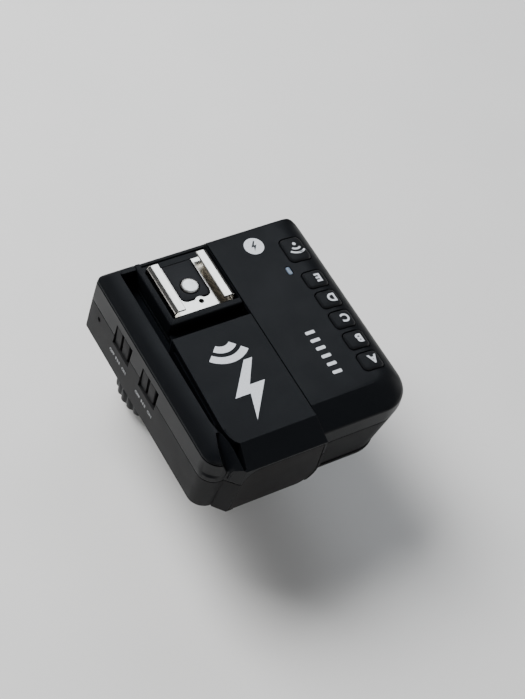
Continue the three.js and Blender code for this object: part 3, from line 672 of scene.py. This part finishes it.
def make_dial():
    """A ring with ribs on a hollow shaft, open in the middle for the set key."""
    outline = knurled(7.2, 0.45, 36)
    steps = ((0.93, -15.4), (0.975, -15.32), (0.995, -15.1), (1, -14.8), (1, -13.5), (0.98, -13.2))
    rings = [(shift(points, DIAL_X, DIAL_Z), y) for points, y in scaled_rings(outline, steps)]
    dial = stack("dial", rings, "y")
    combine(dial, [behind(circle(DIAL_X, DIAL_Z, 3.7, 56), -17, -14)])
    shaft = prism("shaft", circle(DIAL_X, DIAL_Z, 2.2, 32), -13.8, -10, "y")
    combine(dial, [shaft], "UNION")
    return combine(dial, [behind(circle(DIAL_X, DIAL_Z, 1.3, 24), -16, -9)])


def make_set_key():
    profile = [
        (1.6, -15.5), (2.6, -15.56), (3.1, -15.6), (3.32, -15.5), (3.4, -15.3), (3.4, -14.95), (3.3, -14.9),
    ]
    cap = stack("set", [(circle(DIAL_X, DIAL_Z, r, 48), y) for r, y in profile], "y")
    return combine(cap, [prism("stem", circle(DIAL_X, DIAL_Z, 1, 24), -15.1, -9.8, "y")], "UNION")


# ------ column, bezel and foot
COLUMN_LOW, COLUMN_HIGH = 11, 35.7


def column_ring(z, pull=0.0):
    """The column's outline at height z, moved inwards by pull; it narrows towards the bottom."""
    s = (COLUMN_HIGH - z) / (COLUMN_HIGH - COLUMN_LOW)
    left, right, front = -35.6 + 9.6 * s + pull, 22.6 - 8.6 * s - pull, 25 - 5 * s - pull
    rear = REAR + pull
    r = max(0.4, 3.2 - pull)
    return rounded([(left, rear, 0.8), (right, rear, 0.8), (right, front, r), (left, front, r)])


def make_column():
    heights = [
        (COLUMN_LOW, 1.1), (11.12, 0.62), (11.45, 0.2), (12, 0),
        (16, 0), (24, 0), (35.5, 0), (COLUMN_HIGH, 0.15),
    ]
    body = stack("column", [(column_ring(z, pull), z) for z, pull in heights])
    inside = stack("inside", [(column_ring(z, WALL), z) for z in (12.8, 24, 36.7)])
    combine(body, [inside, behind(display_outline(0, 1), -12, -9)] + rear_cutters(-12, -9))
    stem_hole = slab(circle(0, 0, 3, 36), 10, 14)
    combine(body, [dial_hole(-12, -9), stem_hole])
    usb_hole = block(-40, 2, 24, -24, 11.4, 27.6)
    sync_hole = across(circle(-3.4, 25.6, 1.7, 28), -40, -24)
    combine(body, [usb_hole, sync_hole])
    screws = [(-20, -8), (-20, 16.4), (9.6, 17.4)]
    return combine(body, [slab(circle(x, y, 2.2, 28), 10, 12) for x, y in screws])


def make_bezel():
    corners = [
        (-27.2, 12.5, 2.4), (14.6, 12.5, 2.4), (22.6, 36, 2),
        (24, 55, 2.4), (-39.6, 55, 2.4), (-36.4, 36, 2),
    ]
    plate = prism("bezel", rounded(corners, 8), -12.9, -11.7, "y", edge=0.45, top=0.1)
    screen = behind(display_outline(1, 1.2), -14, -11)
    return combine(plate, [screen, dial_hole(-14, -11)] + rear_cutters(-14, -11))


def make_screw(node):
    """A pan head with a cross recess, seen from below."""
    low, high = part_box(node)
    x, y = (low[0] + high[0]) / 2 / MM, (low[1] + high[1]) / 2 / MM
    bottom, top = low[2] / MM, high[2] / MM
    head = prism("screw", circle(x, y, 1.9, 36), bottom, top, edge=0.22, top=0.02)
    slots = [(1.2, 0.22), (0.22, 1.2)]
    return combine(head, [block(x - a, y - b, bottom - 1, x + a, y + b, bottom + 0.36) for a, b in slots])


def make_foot():
    """The shoe plate with its neck, stem and holes."""
    plate = prism("foot", rect(-9.3, -9, 9.3, 9, 0.8), 0, 2, edge=0.3)
    neck = prism("neck", rect(-6.1, -7, 6.1, 7, 0.8), 1.8, 5.2)
    stem = prism("stem", circle(0, 0, 9.4, 72), 3, 10.7, edge=0.2)
    combine(plate, [neck, stem], "UNION")
    contacts = [(0, 0, 1.6), (4.4, 4.6, 0.8), (0, 4.6, 0.8), (-4.4, 4.6, 0.8)]
    holes = [slab(circle(x, y, radius + 0.3, 28), -1, 1.6) for x, y, radius in contacts]
    pin_hole = slab(circle(0, -6, 1.2, 28), -1, 3)
    return combine(plate, holes + [pin_hole])


def make_lock_ring():
    outline = knurled(16, 0.6, 30, 10)
    steps = [(0.95, 5.1), (0.98, 5.2), (0.997, 5.5), (1, 5.9), (1, 9.6)]
    steps += [(0.99, 10.1), (0.965, 10.45), (0.93, 10.6)]
    ring = stack("ring", scaled_rings(outline, steps))
    return combine(ring, [slab(circle(0, 0, 9.8, 72), 4, 12)])


def make_pressure_plate():
    plate = prism("plate", circle(0, 0, 14, 96), 4, 4.8, edge=0.15)
    return combine(plate, [slab(circle(0, 0, 9.7, 72), 3, 6)])


def make_door():
    """The door with its grip grooves; one corner follows the case's round corner."""
    corners = [(-36.5, 26, 0.4), (16, 26, 0.4), (16, 62.6, 1.2), (-4.5, 62.6, 0.8), (-4.5, 60.4, 0.4)]
    for k in range(11):
        a = math.radians(90 + 6.8 * k)
        corners.append((-26.2 + 11.1 * math.cos(a), 49.3 + 11.1 * math.sin(a), 0))
    plate = prism("door", rounded(corners), DECK_BOTTOM, 37, edge=0.2)
    grooves = [block(-20, 47 + 2 * i, 35, 0, 47.9 + 2 * i, 36.35) for i in range(5)]
    return combine(plate, grooves)


# ------ printed marks
INK = 0.035  # how far printed marks stand proud
CAP_PRINT = 3.0
LABEL_Z = 42.3


def letter_outline(text, size):
    """The built-in font's letter as a flat mesh, size high and centred."""
    curve = bpy.data.curves.new("letter", "FONT")
    curve.body = text
    curve.resolution_u = 4
    curve.offset = 0.035
    holder = add_object("letter", curve)
    graph = bpy.context.evaluated_depsgraph_get()
    graph.update()
    mesh = bpy.data.meshes.new_from_object(holder.evaluated_get(graph))
    bpy.data.objects.remove(holder)
    xs = [v.co.x for v in mesh.vertices]
    ys = [v.co.y for v in mesh.vertices]
    scale = size * MM / (max(ys) - min(ys))
    middle = Vector(((max(xs) + min(xs)) / 2, (max(ys) + min(ys)) / 2, 0))
    for v in mesh.vertices:
        v.co = (v.co - middle) * scale
    return mesh


def thicken(mesh, name, height):
    """Makes a flat mesh a thin closed solid that lies on the surface height(x, y)."""
    bm = bmesh.new()
    bm.from_mesh(mesh)
    bmesh.ops.remove_doubles(bm, verts=bm.verts, dist=1e-6)
    for face in bm.faces:
        if face.normal.z < 0:
            face.normal_flip()
    result = bmesh.ops.extrude_face_region(bm, geom=list(bm.faces))
    upper = {v for v in result["geom"] if isinstance(v, bmesh.types.BMVert)}
    for v in bm.verts:
        top = height(v.co.x / MM, v.co.y / MM) * MM
        v.co.z = top if v in upper else top - 2 * INK * MM
    bmesh.ops.recalc_face_normals(bm, faces=bm.faces)
    made = bpy.data.meshes.new(name)
    bm.to_mesh(made)
    bm.free()
    return add_object(name, made)


def on_cap(x, y):
    """Height of print on the top keys."""
    return roll_height(x) + KEY_LIFT + CAP_BULGE + INK


def key_letter(text, y):
    mesh = letter_outline(text, CAP_PRINT)
    for v in mesh.vertices:
        v.co += Vector((KEY_X - 0.9, y, 0)) * MM
    return thicken(mesh, "letter", on_cap)


def flat_mesh(outlines):
    """One flat mesh of several outlines in X and Y."""
    bm = bmesh.new()
    for outline in outlines:
        bm.faces.new([bm.verts.new(Vector((x, y, 0)) * MM) for x, y in outline])
    mesh = bpy.data.meshes.new("flat")
    bm.to_mesh(mesh)
    bm.free()
    return mesh


def arc_band(x, y, radius, width, start, end, steps=12):
    """A curved bar round (x, y) between two angles in degrees."""
    angles = [math.radians(start + (end - start) * k / steps) for k in range(steps + 1)]
    outer, inner = radius + width / 2, radius - width / 2
    outside = [(x + outer * math.cos(a), y + outer * math.sin(a)) for a in angles]
    inside = [(x + inner * math.cos(a), y + inner * math.sin(a)) for a in angles]
    return outside + inside[::-1]


def turned(points, x, y, degrees):
    """The points turned about the origin, then moved."""
    a = math.radians(degrees)
    c, s = math.cos(a), math.sin(a)
    return [(x + px * c - py * s, y + px * s + py * c) for px, py in points]


def radio_mark(x, y, size, degrees):
    """A dot with two arcs: the usual sign for a radio signal."""
    parts = [circle(0, -size * 0.42, size * 0.13, 20)]
    parts += [arc_band(0, -size * 0.42, size * r, size * 0.15, 45, 135) for r in (0.46, 0.82)]
    return [turned(part, x, y, degrees) for part in parts]


def bolt_mark(x, y, size, degrees):
    """A plain lightning bolt: the usual sign for a flash."""
    points = [(0.16, 0.5), (-0.28, -0.06), (-0.03, -0.06), (-0.16, -0.5)]
    points += [(0.28, 0.08), (0.03, 0.08), (0.3, 0.5)]
    return [turned([(px * size, py * size) for px, py in points], x, y, degrees)]


def deck_marks():
    """Flat marks for the deck: a large bolt with arcs, a row of bars and a round badge."""
    bolt_x, badge = 2.4, (-23.95, -4.86)
    large = bolt_mark(bolt_x, 40.6, 19.5, 180)
    large += [arc_band(bolt_x, 21.4, r, 2.3, 45, 135, 20) for r in (4.2, 7.9)]
    bars = [turned(rect(-1.5, -0.55, 1.5, 0.55, 0.3), -23.6 - 0.1 * i, 29.5 + 3.0 * i, 0) for i in range(6)]
    return {
        "large_mark": flat_mesh(large),
        "bar_mark": flat_mesh(bars),
        "badge_disc": flat_mesh([circle(*badge, 3.1, 48)]),
        "badge_glyph": flat_mesh(bolt_mark(*badge, 3.6, 180)),
    }


def wall_text(text, y, z):
    """Small lettering on the right wall, read along +Y."""
    x = right_wall(z)
    obj = thicken(letter_outline(text, 1.25), "label", lambda px, py: INK)
    for v in obj.data.vertices:
        v.co = Vector((x * MM + v.co.z, y * MM + v.co.x, z * MM + v.co.y))
    return obj


def wall_marks():
    """Labels of the two slide switches: OFF, three bars and ON."""
    solids = []
    x = right_wall(LABEL_Z)
    for y in SWITCH_YS:
        solids += [wall_text("OFF", y + 0.9, LABEL_Z), wall_text("ON", y + 8.4, LABEL_Z)]
        bars = [rect(y + 3.2 + i, 41.8, y + 3.8 + i, 42.9) for i in range(3)]
        solids += [prism("mark", bar, x - 0.1, x + INK, "x") for bar in bars]
    return join(solids)


def join(objects):
    """Makes several solids one object."""
    bm = bmesh.new()
    for obj in objects:
        bm.from_mesh(obj.data)
    mesh = bpy.data.meshes.new("joined")
    bm.to_mesh(mesh)
    bm.free()
    for obj in objects:
        bpy.data.objects.remove(obj)
    return add_object("joined", mesh)


# ------ materials
class Nodes:
    """Short calls for building a material's node tree."""

    def __init__(self, name, roughness=0.5, metallic=0.0, color=(0.1, 0.1, 0.1)):
        self.material = bpy.data.materials.new(name)
        self.material.use_nodes = True
        self.tree = self.material.node_tree
        self.shader = self.tree.nodes["Principled BSDF"]
        self.set("Roughness", roughness)
        self.set("Metallic", metallic)
        self.set("Base Color", (*color, 1))
        self.place = self.add("ShaderNodeTexCoord").outputs["Object"]

    def set(self, socket, value):
        self.shader.inputs[socket].default_value = value

    def add(self, kind, **settings):
        node = self.tree.nodes.new(kind)
        for key, value in settings.items():
            setattr(node, key, value)
        return node

    def link(self, source, target):
        self.tree.links.new(source, target)

    def noise(self, size, detail=3.0, stretch=(1, 1, 1)):
        """Noise whose grains are about size millimetres."""
        mapping = self.add("ShaderNodeMapping")
        mapping.inputs["Scale"].default_value = [s / (size * MM) for s in stretch]
        self.link(self.place, mapping.inputs["Vector"])
        node = self.add("ShaderNodeTexNoise")
        node.inputs["Scale"].default_value = 1.0
        node.inputs["Detail"].default_value = detail
        self.link(mapping.outputs["Vector"], node.inputs["Vector"])
        return node.outputs["Fac"]

    def ramp(self, source, low, high, start, end):
        """Maps source from low..high to start..end, clamped."""
        node = self.add("ShaderNodeMapRange")
        for socket, value in zip(node.inputs[1:5], (low, high, start, end)):
            socket.default_value = value
        self.link(source, node.inputs[0])
        return node.outputs[0]

    def blend(self, factor, first, second):
        """Mixes two colours; each is a colour or an output."""
        node = self.add("ShaderNodeMix", data_type="RGBA")
        self.link(factor, node.inputs["Factor"])
        for socket, value in ((node.inputs[6], first), (node.inputs[7], second)):
            if isinstance(value, tuple):
                socket.default_value = (*value, 1)
            else:
                self.link(value, socket)
        return node.outputs[2]

    def bumps(self, *layers, edge=0.0):
        """Bump layers (source, height in mm), over edges rounded by edge millimetres."""
        normal = None
        if edge:
            rounding = self.add("ShaderNodeBevel", samples=4)
            rounding.inputs["Radius"].default_value = edge * MM
            normal = rounding.outputs["Normal"]
        for source, height in layers:
            bump = self.add("ShaderNodeBump")
            bump.inputs["Strength"].default_value = 1.0
            bump.inputs["Distance"].default_value = height * MM
            self.link(source, bump.inputs["Height"])
            if normal is not None:
                self.link(normal, bump.inputs["Normal"])
            normal = bump.outputs["Normal"]
        self.link(normal, self.shader.inputs["Normal"])

    def color(self, source):
        self.link(source, self.shader.inputs["Base Color"])

    def roughness(self, source):
        self.link(source, self.shader.inputs["Roughness"])

    def edge_wear(self, radius):
        """About 1 on sharp outer and inner edges, 0 on faces."""
        rounding = self.add("ShaderNodeBevel", samples=4)
        rounding.inputs["Radius"].default_value = radius * MM
        geometry = self.add("ShaderNodeNewGeometry")
        dot = self.add("ShaderNodeVectorMath", operation="DOT_PRODUCT")
        self.link(rounding.outputs["Normal"], dot.inputs[0])
        self.link(geometry.outputs["Normal"], dot.inputs[1])
        return self.ramp(dot.outputs["Value"], 0.995, 0.9, 0.0, 1.0)


def plastic(name, base, rough, grain, relief, edge=0.25, wear=0.35, specular=0.5):
    """Moulded plastic with a spark-eroded grain, uneven gloss and slightly polished edges."""
    n = Nodes(name)
    light = tuple(min(1, c * 1.5 + 0.004) for c in base)
    shade = tuple(c * 0.86 for c in base)
    uneven = n.noise(9, 4)
    tone = n.blend(n.ramp(uneven, 0.3, 0.7, 0, 1), shade, base)
    speckle = n.ramp(n.noise(grain * 1.3, 2), 0.55, 0.75, 0, 0.5)
    tone = n.blend(speckle, tone, light)
    worn = n.add("ShaderNodeMath", operation="MULTIPLY")
    n.link(n.edge_wear(edge * 1.4), worn.inputs[0])
    n.link(n.ramp(n.noise(1.6, 3), 0.42, 0.7, 0, wear), worn.inputs[1])
    n.color(n.blend(worn.outputs[0], tone, tuple(c * 3 + 0.02 for c in base)))
    n.roughness(n.ramp(n.noise(7, 5), 0.25, 0.75, rough - 0.03, rough + 0.04))
    n.set("Specular IOR Level", specular)
    n.bumps((n.noise(grain, 2), relief), edge=edge)
    return n.material


def metal(name, base, rough, brush=(1, 1, 1), edge=0.12):
    """Plated sheet metal with fine drawing lines, scratches and dull spots."""
    n = Nodes(name, metallic=1.0)
    lines = n.noise(0.22, 3, brush)
    spots = n.noise(1.8, 4)
    tone = n.blend(n.ramp(spots, 0.4, 0.75, 0, 0.5), base, tuple(c * 0.85 for c in base))
    n.color(n.blend(n.ramp(lines, 0.45, 0.8, 0, 0.35), tone, tuple(c * 0.6 for c in base)))
    n.roughness(n.ramp(n.noise(2.5, 5), 0.3, 0.75, rough - 0.03, rough + 0.05))
    n.bumps((lines, 0.0035), edge=edge)
    return n.material


def glass(name, base, rough):
    """Clear lacquer over a dark or tinted body, with faint smears."""
    n = Nodes(name, color=base)
    n.color(n.blend(n.ramp(n.noise(6, 3), 0.35, 0.7, 0, 1), base, tuple(c * 1.5 + 0.002 for c in base)))
    n.roughness(n.ramp(n.noise(3, 5), 0.4, 0.8, rough, rough + 0.08))
    n.set("Coat Weight", 0.6)
    n.set("Coat Roughness", 0.04)
    n.bumps((n.noise(4, 2), 0.0006), edge=0.1)
    return n.material


def ink(name, base):
    """Printed paint with small thin spots."""
    n = Nodes(name)
    n.color(n.blend(n.ramp(n.noise(0.5, 4), 0.3, 0.6, 0, 1), tuple(c * 0.86 for c in base), base))
    n.roughness(n.ramp(n.noise(0.8, 3), 0.3, 0.7, 0.42, 0.6))
    n.bumps((n.noise(0.25, 2), 0.006))
    return n.material


def board_material():
    """Green lacquer over copper tracks."""
    n = Nodes("circuit_lacquer", roughness=0.4)
    cells = n.add("ShaderNodeTexVoronoi", feature="DISTANCE_TO_EDGE")
    cells.inputs["Scale"].default_value = 420
    n.link(n.place, cells.inputs["Vector"])
    tracks = n.ramp(cells.outputs["Distance"], 0.05, 0.09, 1, 0)
    n.color(n.blend(tracks, (0.012, 0.07, 0.03), (0.03, 0.16, 0.07)))
    n.roughness(n.ramp(n.noise(4, 3), 0.3, 0.7, 0.3, 0.5))
    n.bumps((tracks, 0.03))
    return n.material


def cell_material():
    """A printed wrap: light grey, with a dark end."""
    n = Nodes("cell_foil", metallic=0.4)
    split = n.add("ShaderNodeSeparateXYZ")
    n.link(n.place, split.inputs[0])
    dark_end = n.ramp(split.outputs["X"], 0.0008, 0.0011, 0, 1)
    tone = n.blend(dark_end, (0.32, 0.33, 0.34), (0.05, 0.06, 0.08))
    n.color(n.blend(n.ramp(n.noise(6, 4), 0.4, 0.7, 0, 0.3), tone, (0.2, 0.2, 0.2)))
    n.roughness(n.ramp(n.noise(2, 4), 0.3, 0.7, 0.28, 0.45))
    n.bumps((n.noise(3, 2), 0.02))
    return n.material


def floor_material():
    n = Nodes("pale_table")
    n.color(n.blend(n.ramp(n.noise(60, 4), 0.3, 0.7, 0, 1), (0.70, 0.705, 0.705), (0.73, 0.73, 0.73)))
    n.roughness(n.ramp(n.noise(12, 4), 0.3, 0.7, 0.5, 0.6))
    n.bumps((n.noise(1.2, 3), 0.01))
    return n.material


COVER = plastic(
    "cover_finish", (0.0034, 0.0040, 0.0051), 0.38, 0.16, 0.010, wear=0.12, specular=0.18)
CASE = plastic(
    "case_finish", (0.0125, 0.0127, 0.0134), 0.56, 0.2, 0.016, wear=0.12, specular=0.13)
RUBBER = plastic(
    "key_finish", (0.0048, 0.0054, 0.0066), 0.48, 0.12, 0.007, edge=0.15, wear=0.1, specular=0.24)
INSULATION = plastic(
    "insulator_finish", (0.0075, 0.0080, 0.0095), 0.4, 0.25, 0.006, edge=0.12, wear=0.1, specular=0.2)
NICKEL = metal("nickel_finish", (0.93, 0.90, 0.84), 0.17, (1, 0.06, 1))
STEEL = metal("steel_finish", (0.62, 0.61, 0.59), 0.3)
BLACKENED = metal("blackened_steel", (0.012, 0.012, 0.013), 0.5)
CONTACT_METAL = metal("contact_finish", (0.95, 0.94, 0.91), 0.3, edge=0.2)
SCREEN = glass("screen_finish", (0.010, 0.012, 0.015), 0.06)
LAMP_RED = plastic(
    "lamp_window_finish", (0.0044, 0.0034, 0.0036), 0.4, 0.5, 0.001, edge=0.1, wear=0.05, specular=0.12)
LENS = glass("lens_finish", (0.085, 0.115, 0.16), 0.3)
PRINT = ink("print_ink", (0.60, 0.63, 0.68))
GLYPH = ink("badge_ink", (0.02, 0.022, 0.026))
LABEL = ink("label_ink", (0.22, 0.23, 0.24))

# shading stays sharp over edges that turn by more degrees than these
CASE_ANGLE = 17
RAIL_ANGLE = 19
MARK_ANGLE = 20


# ------ assembly
left_cover, right_cover, lower_case = make_casings()
piece(left_cover, "cover_left", "casing", COVER, ["top_cover_left"], CASE_ANGLE)
piece(right_cover, "cover_right", "casing", COVER, ["top_cover_right"], CASE_ANGLE)
piece(lower_case, "case_lower", "casing", CASE, ["lower_case"], CASE_ANGLE)
piece(make_column(), "column", "casing", CASE, ["base_housing"])
piece(make_bezel(), "bezel", "casing", COVER, ["rear_bezel"])
piece(make_seat(), "seat", "casing", COVER, ["shoe_seat"])
piece(make_rails(), "rails", "casing", NICKEL, ["shoe_rails"], angle=RAIL_ANGLE)
piece(make_insulator(), "insulator", "casing", INSULATION, ["shoe_insulator"])
piece(make_contact(), "contact", "casing", CONTACT_METAL, ["shoe_contact"])
piece(make_foot(), "foot_plate", "casing", COVER, ["foot"])
for i in (1, 2, 3):
    node = "case_screw_%d" % i
    piece(make_screw(node), "screw_%d" % i, "casing", STEEL, [node])
piece(make_lock_ring(), "ring", "lock_ring", COVER, ["lock_ring"])
piece(make_pressure_plate(), "plate", "pressure_plate", STEEL, ["pressure_plate"])
piece(make_door(), "door", "battery_door", CASE, ["battery_door"])

for mark, y in zip("abcde", KEY_YS):
    node = "group_key_" + mark
    piece(make_top_key(y, *GROUP_KEY), "cap_" + mark, node, RUBBER, [node])
    piece(key_letter(mark.upper(), y), "letter_" + mark, node, PRINT, (), MARK_ANGLE)
wireless_cap = make_top_key(WIRELESS_Y, *WIRELESS_KEY)
piece(wireless_cap, "cap_wireless", "wireless_key", RUBBER, ["wireless_key"])
signal = thicken(flat_mesh(radio_mark(KEY_X - 0.4, WIRELESS_Y, 4.2, 0)), "signal", on_cap)
piece(signal, "signal_mark", "wireless_key", PRINT, (), MARK_ANGLE)

lens = prism("lens", lens_outline(0, 0.6), 55.1, 57.55, edge=0.05, top=0.25)
piece(lens, "wireless_lens", "casing", LENS, ["wireless_lamp_lens"])
for name, y in zip(("focus_switch", "power_switch"), SWITCH_YS):
    piece(make_knob(y), name + "_slider", name, CASE, [name + "_knob"])
for name, (x, z) in ROUND_KEYS.items():
    piece(make_round_key(x, z), name + "_cap", name, RUBBER, [name])
for i, x in enumerate(FUNCTION_XS):
    name = "function_key_%d" % (i + 1)
    piece(make_function_key(x), name + "_cap", name, RUBBER, [name])
    stroke = behind(function_outline(x, 1.1, 0.3, 0.2), -13.74, -13.6)
    piece(stroke, name + "_stroke", name, PRINT, ())
piece(make_dial(), "dial", "select_dial", COVER, ["select_dial"])
piece(make_set_key(), "set_cap", "set_key", RUBBER, ["set_key"])

window = behind(display_outline(0.7, 1.0), -12.8, -11.7)
piece(window, "display_window", "casing", SCREEN, ["screen_window"])
lamp_pane = prism("pane", nose_panel(-0.07), 62.03, 62.97, "y", edge=0.05, top=0.3)
piece(lamp_pane, "lamp_pane", "casing", LAMP_RED, ["assist_lamp_window"])
test_lens = prism("lens", circle(*TEST_LAMP, 0.9, 28), -12.95, -10.4, "y", edge=0.3, top=0.05)
piece(test_lens, "test_lens", "casing", LENS, ["test_lamp_lens"])

for name, mesh in deck_marks().items():
    lift = 2 * INK if name == "badge_glyph" else INK
    obj = thicken(mesh, name, lambda px, py: DECK_TOP + lift)
    piece(obj, name, "casing", GLYPH if name == "badge_glyph" else PRINT, (), MARK_ANGLE)
piece(wall_marks(), "switch_labels", "casing", LABEL, (), MARK_ANGLE)

# The CAD's own solids that stay in sight keep their shape; those not named here are steel.
CELL_WRAP = cell_material()
LACQUER = board_material()
INNER = {
    "battery_cell_1": CELL_WRAP, "battery_cell_2": CELL_WRAP,
    "main_board": LACQUER, "key_board": LACQUER,
    "screen_module": SCREEN, "assist_lamp": LENS,
    "focus_switch_body": BLACKENED, "power_switch_body": BLACKENED,
}
for name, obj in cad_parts.items():
    if not obj.hide_render:
        obj.data.materials.clear()
        obj.data.materials.append(INNER.get(name, STEEL))


# ------ stage, light and camera
FLOOR_REACH = 1.6  # metres
LIGHT_TARGET = Vector((-8, 22, 40)) * MM


def make_floor():
    bm = bmesh.new()
    bmesh.ops.create_grid(bm, x_segments=24, y_segments=24, size=FLOOR_REACH)
    mesh = bpy.data.meshes.new("floor")
    bm.to_mesh(mesh)
    bm.free()
    floor = add_object("floor", mesh)
    mesh.materials.append(floor_material())


def area_light(name, direction, distance, size, power, color=(1, 1, 1)):
    """A soft box at distance metres in a direction from the deck."""
    data = bpy.data.lights.new(name, "AREA")
    data.shape = "RECTANGLE"
    data.size, data.size_y = size
    data.energy = power
    data.color = color
    lamp = add_object(name, data)
    way = Vector(direction).normalized()
    lamp.location = LIGHT_TARGET + way * distance
    lamp.rotation_euler = way.to_track_quat("Z", "Y").to_euler()
    return lamp


def make_world():
    world = bpy.data.worlds.new("studio")
    world.use_nodes = True
    background = world.node_tree.nodes["Background"]
    background.inputs["Color"].default_value = (0.92, 0.95, 1.0, 1)
    background.inputs["Strength"].default_value = 0.07
    bpy.context.scene.world = world


def make_camera():
    """Looks down from the front right, rolled so that the deck lies aslant in the frame."""
    data = bpy.data.cameras.new("camera")
    data.lens = 121.02
    data.sensor_width = 36
    data.sensor_fit = "HORIZONTAL"
    data.clip_start = 0.01
    camera = add_object("camera", data)
    right = Vector((-0.8590403, 0.48081585, 0.17568689))
    up = Vector((-0.29757988, -0.74829697, 0.59287256))
    back = Vector((0.41652849, 0.45702053, 0.78589837))
    turn = Matrix((right, up, back)).transposed().to_4x4()
    camera.matrix_world = Matrix.Translation((0.201631, 0.259232, 0.452280)) @ turn
    bpy.context.scene.camera = camera


make_floor()
make_world()
table_light = area_light("table_light", (0.30, -0.50, 0.81), 0.9, (0.5, 0.5), 15.2, (1.0, 0.992, 0.98))
table_light.visible_glossy = False
area_light("rear_sheen", (0.30, -0.72, 0.50), 0.9, (0.22, 0.22), 0.35, (1.0, 0.95, 0.86))
area_light("front_top", (0.15, 0.65, 0.75), 0.85, (0.6, 0.6), 0.9, (1.0, 0.99, 0.97))
area_light("deck_cool", (-0.41, -0.50, 0.76), 0.7, (0.40, 0.26), 0.9, (0.87, 0.93, 1.0))
panels = [
    ("right_panel", (1.0, -0.15, 0.2), 1.8),
    ("left_panel", (-1.0, 0.2, 0.22), 2.0),
    ("rear_panel", (-0.1, -1.0, 0.22), 1.5),
    ("front_panel", (-0.25, 1.0, 0.2), 1.2),
]
for name, direction, power in panels:
    area_light(name, direction, 1.0, (0.8, 0.5), power)
make_camera()
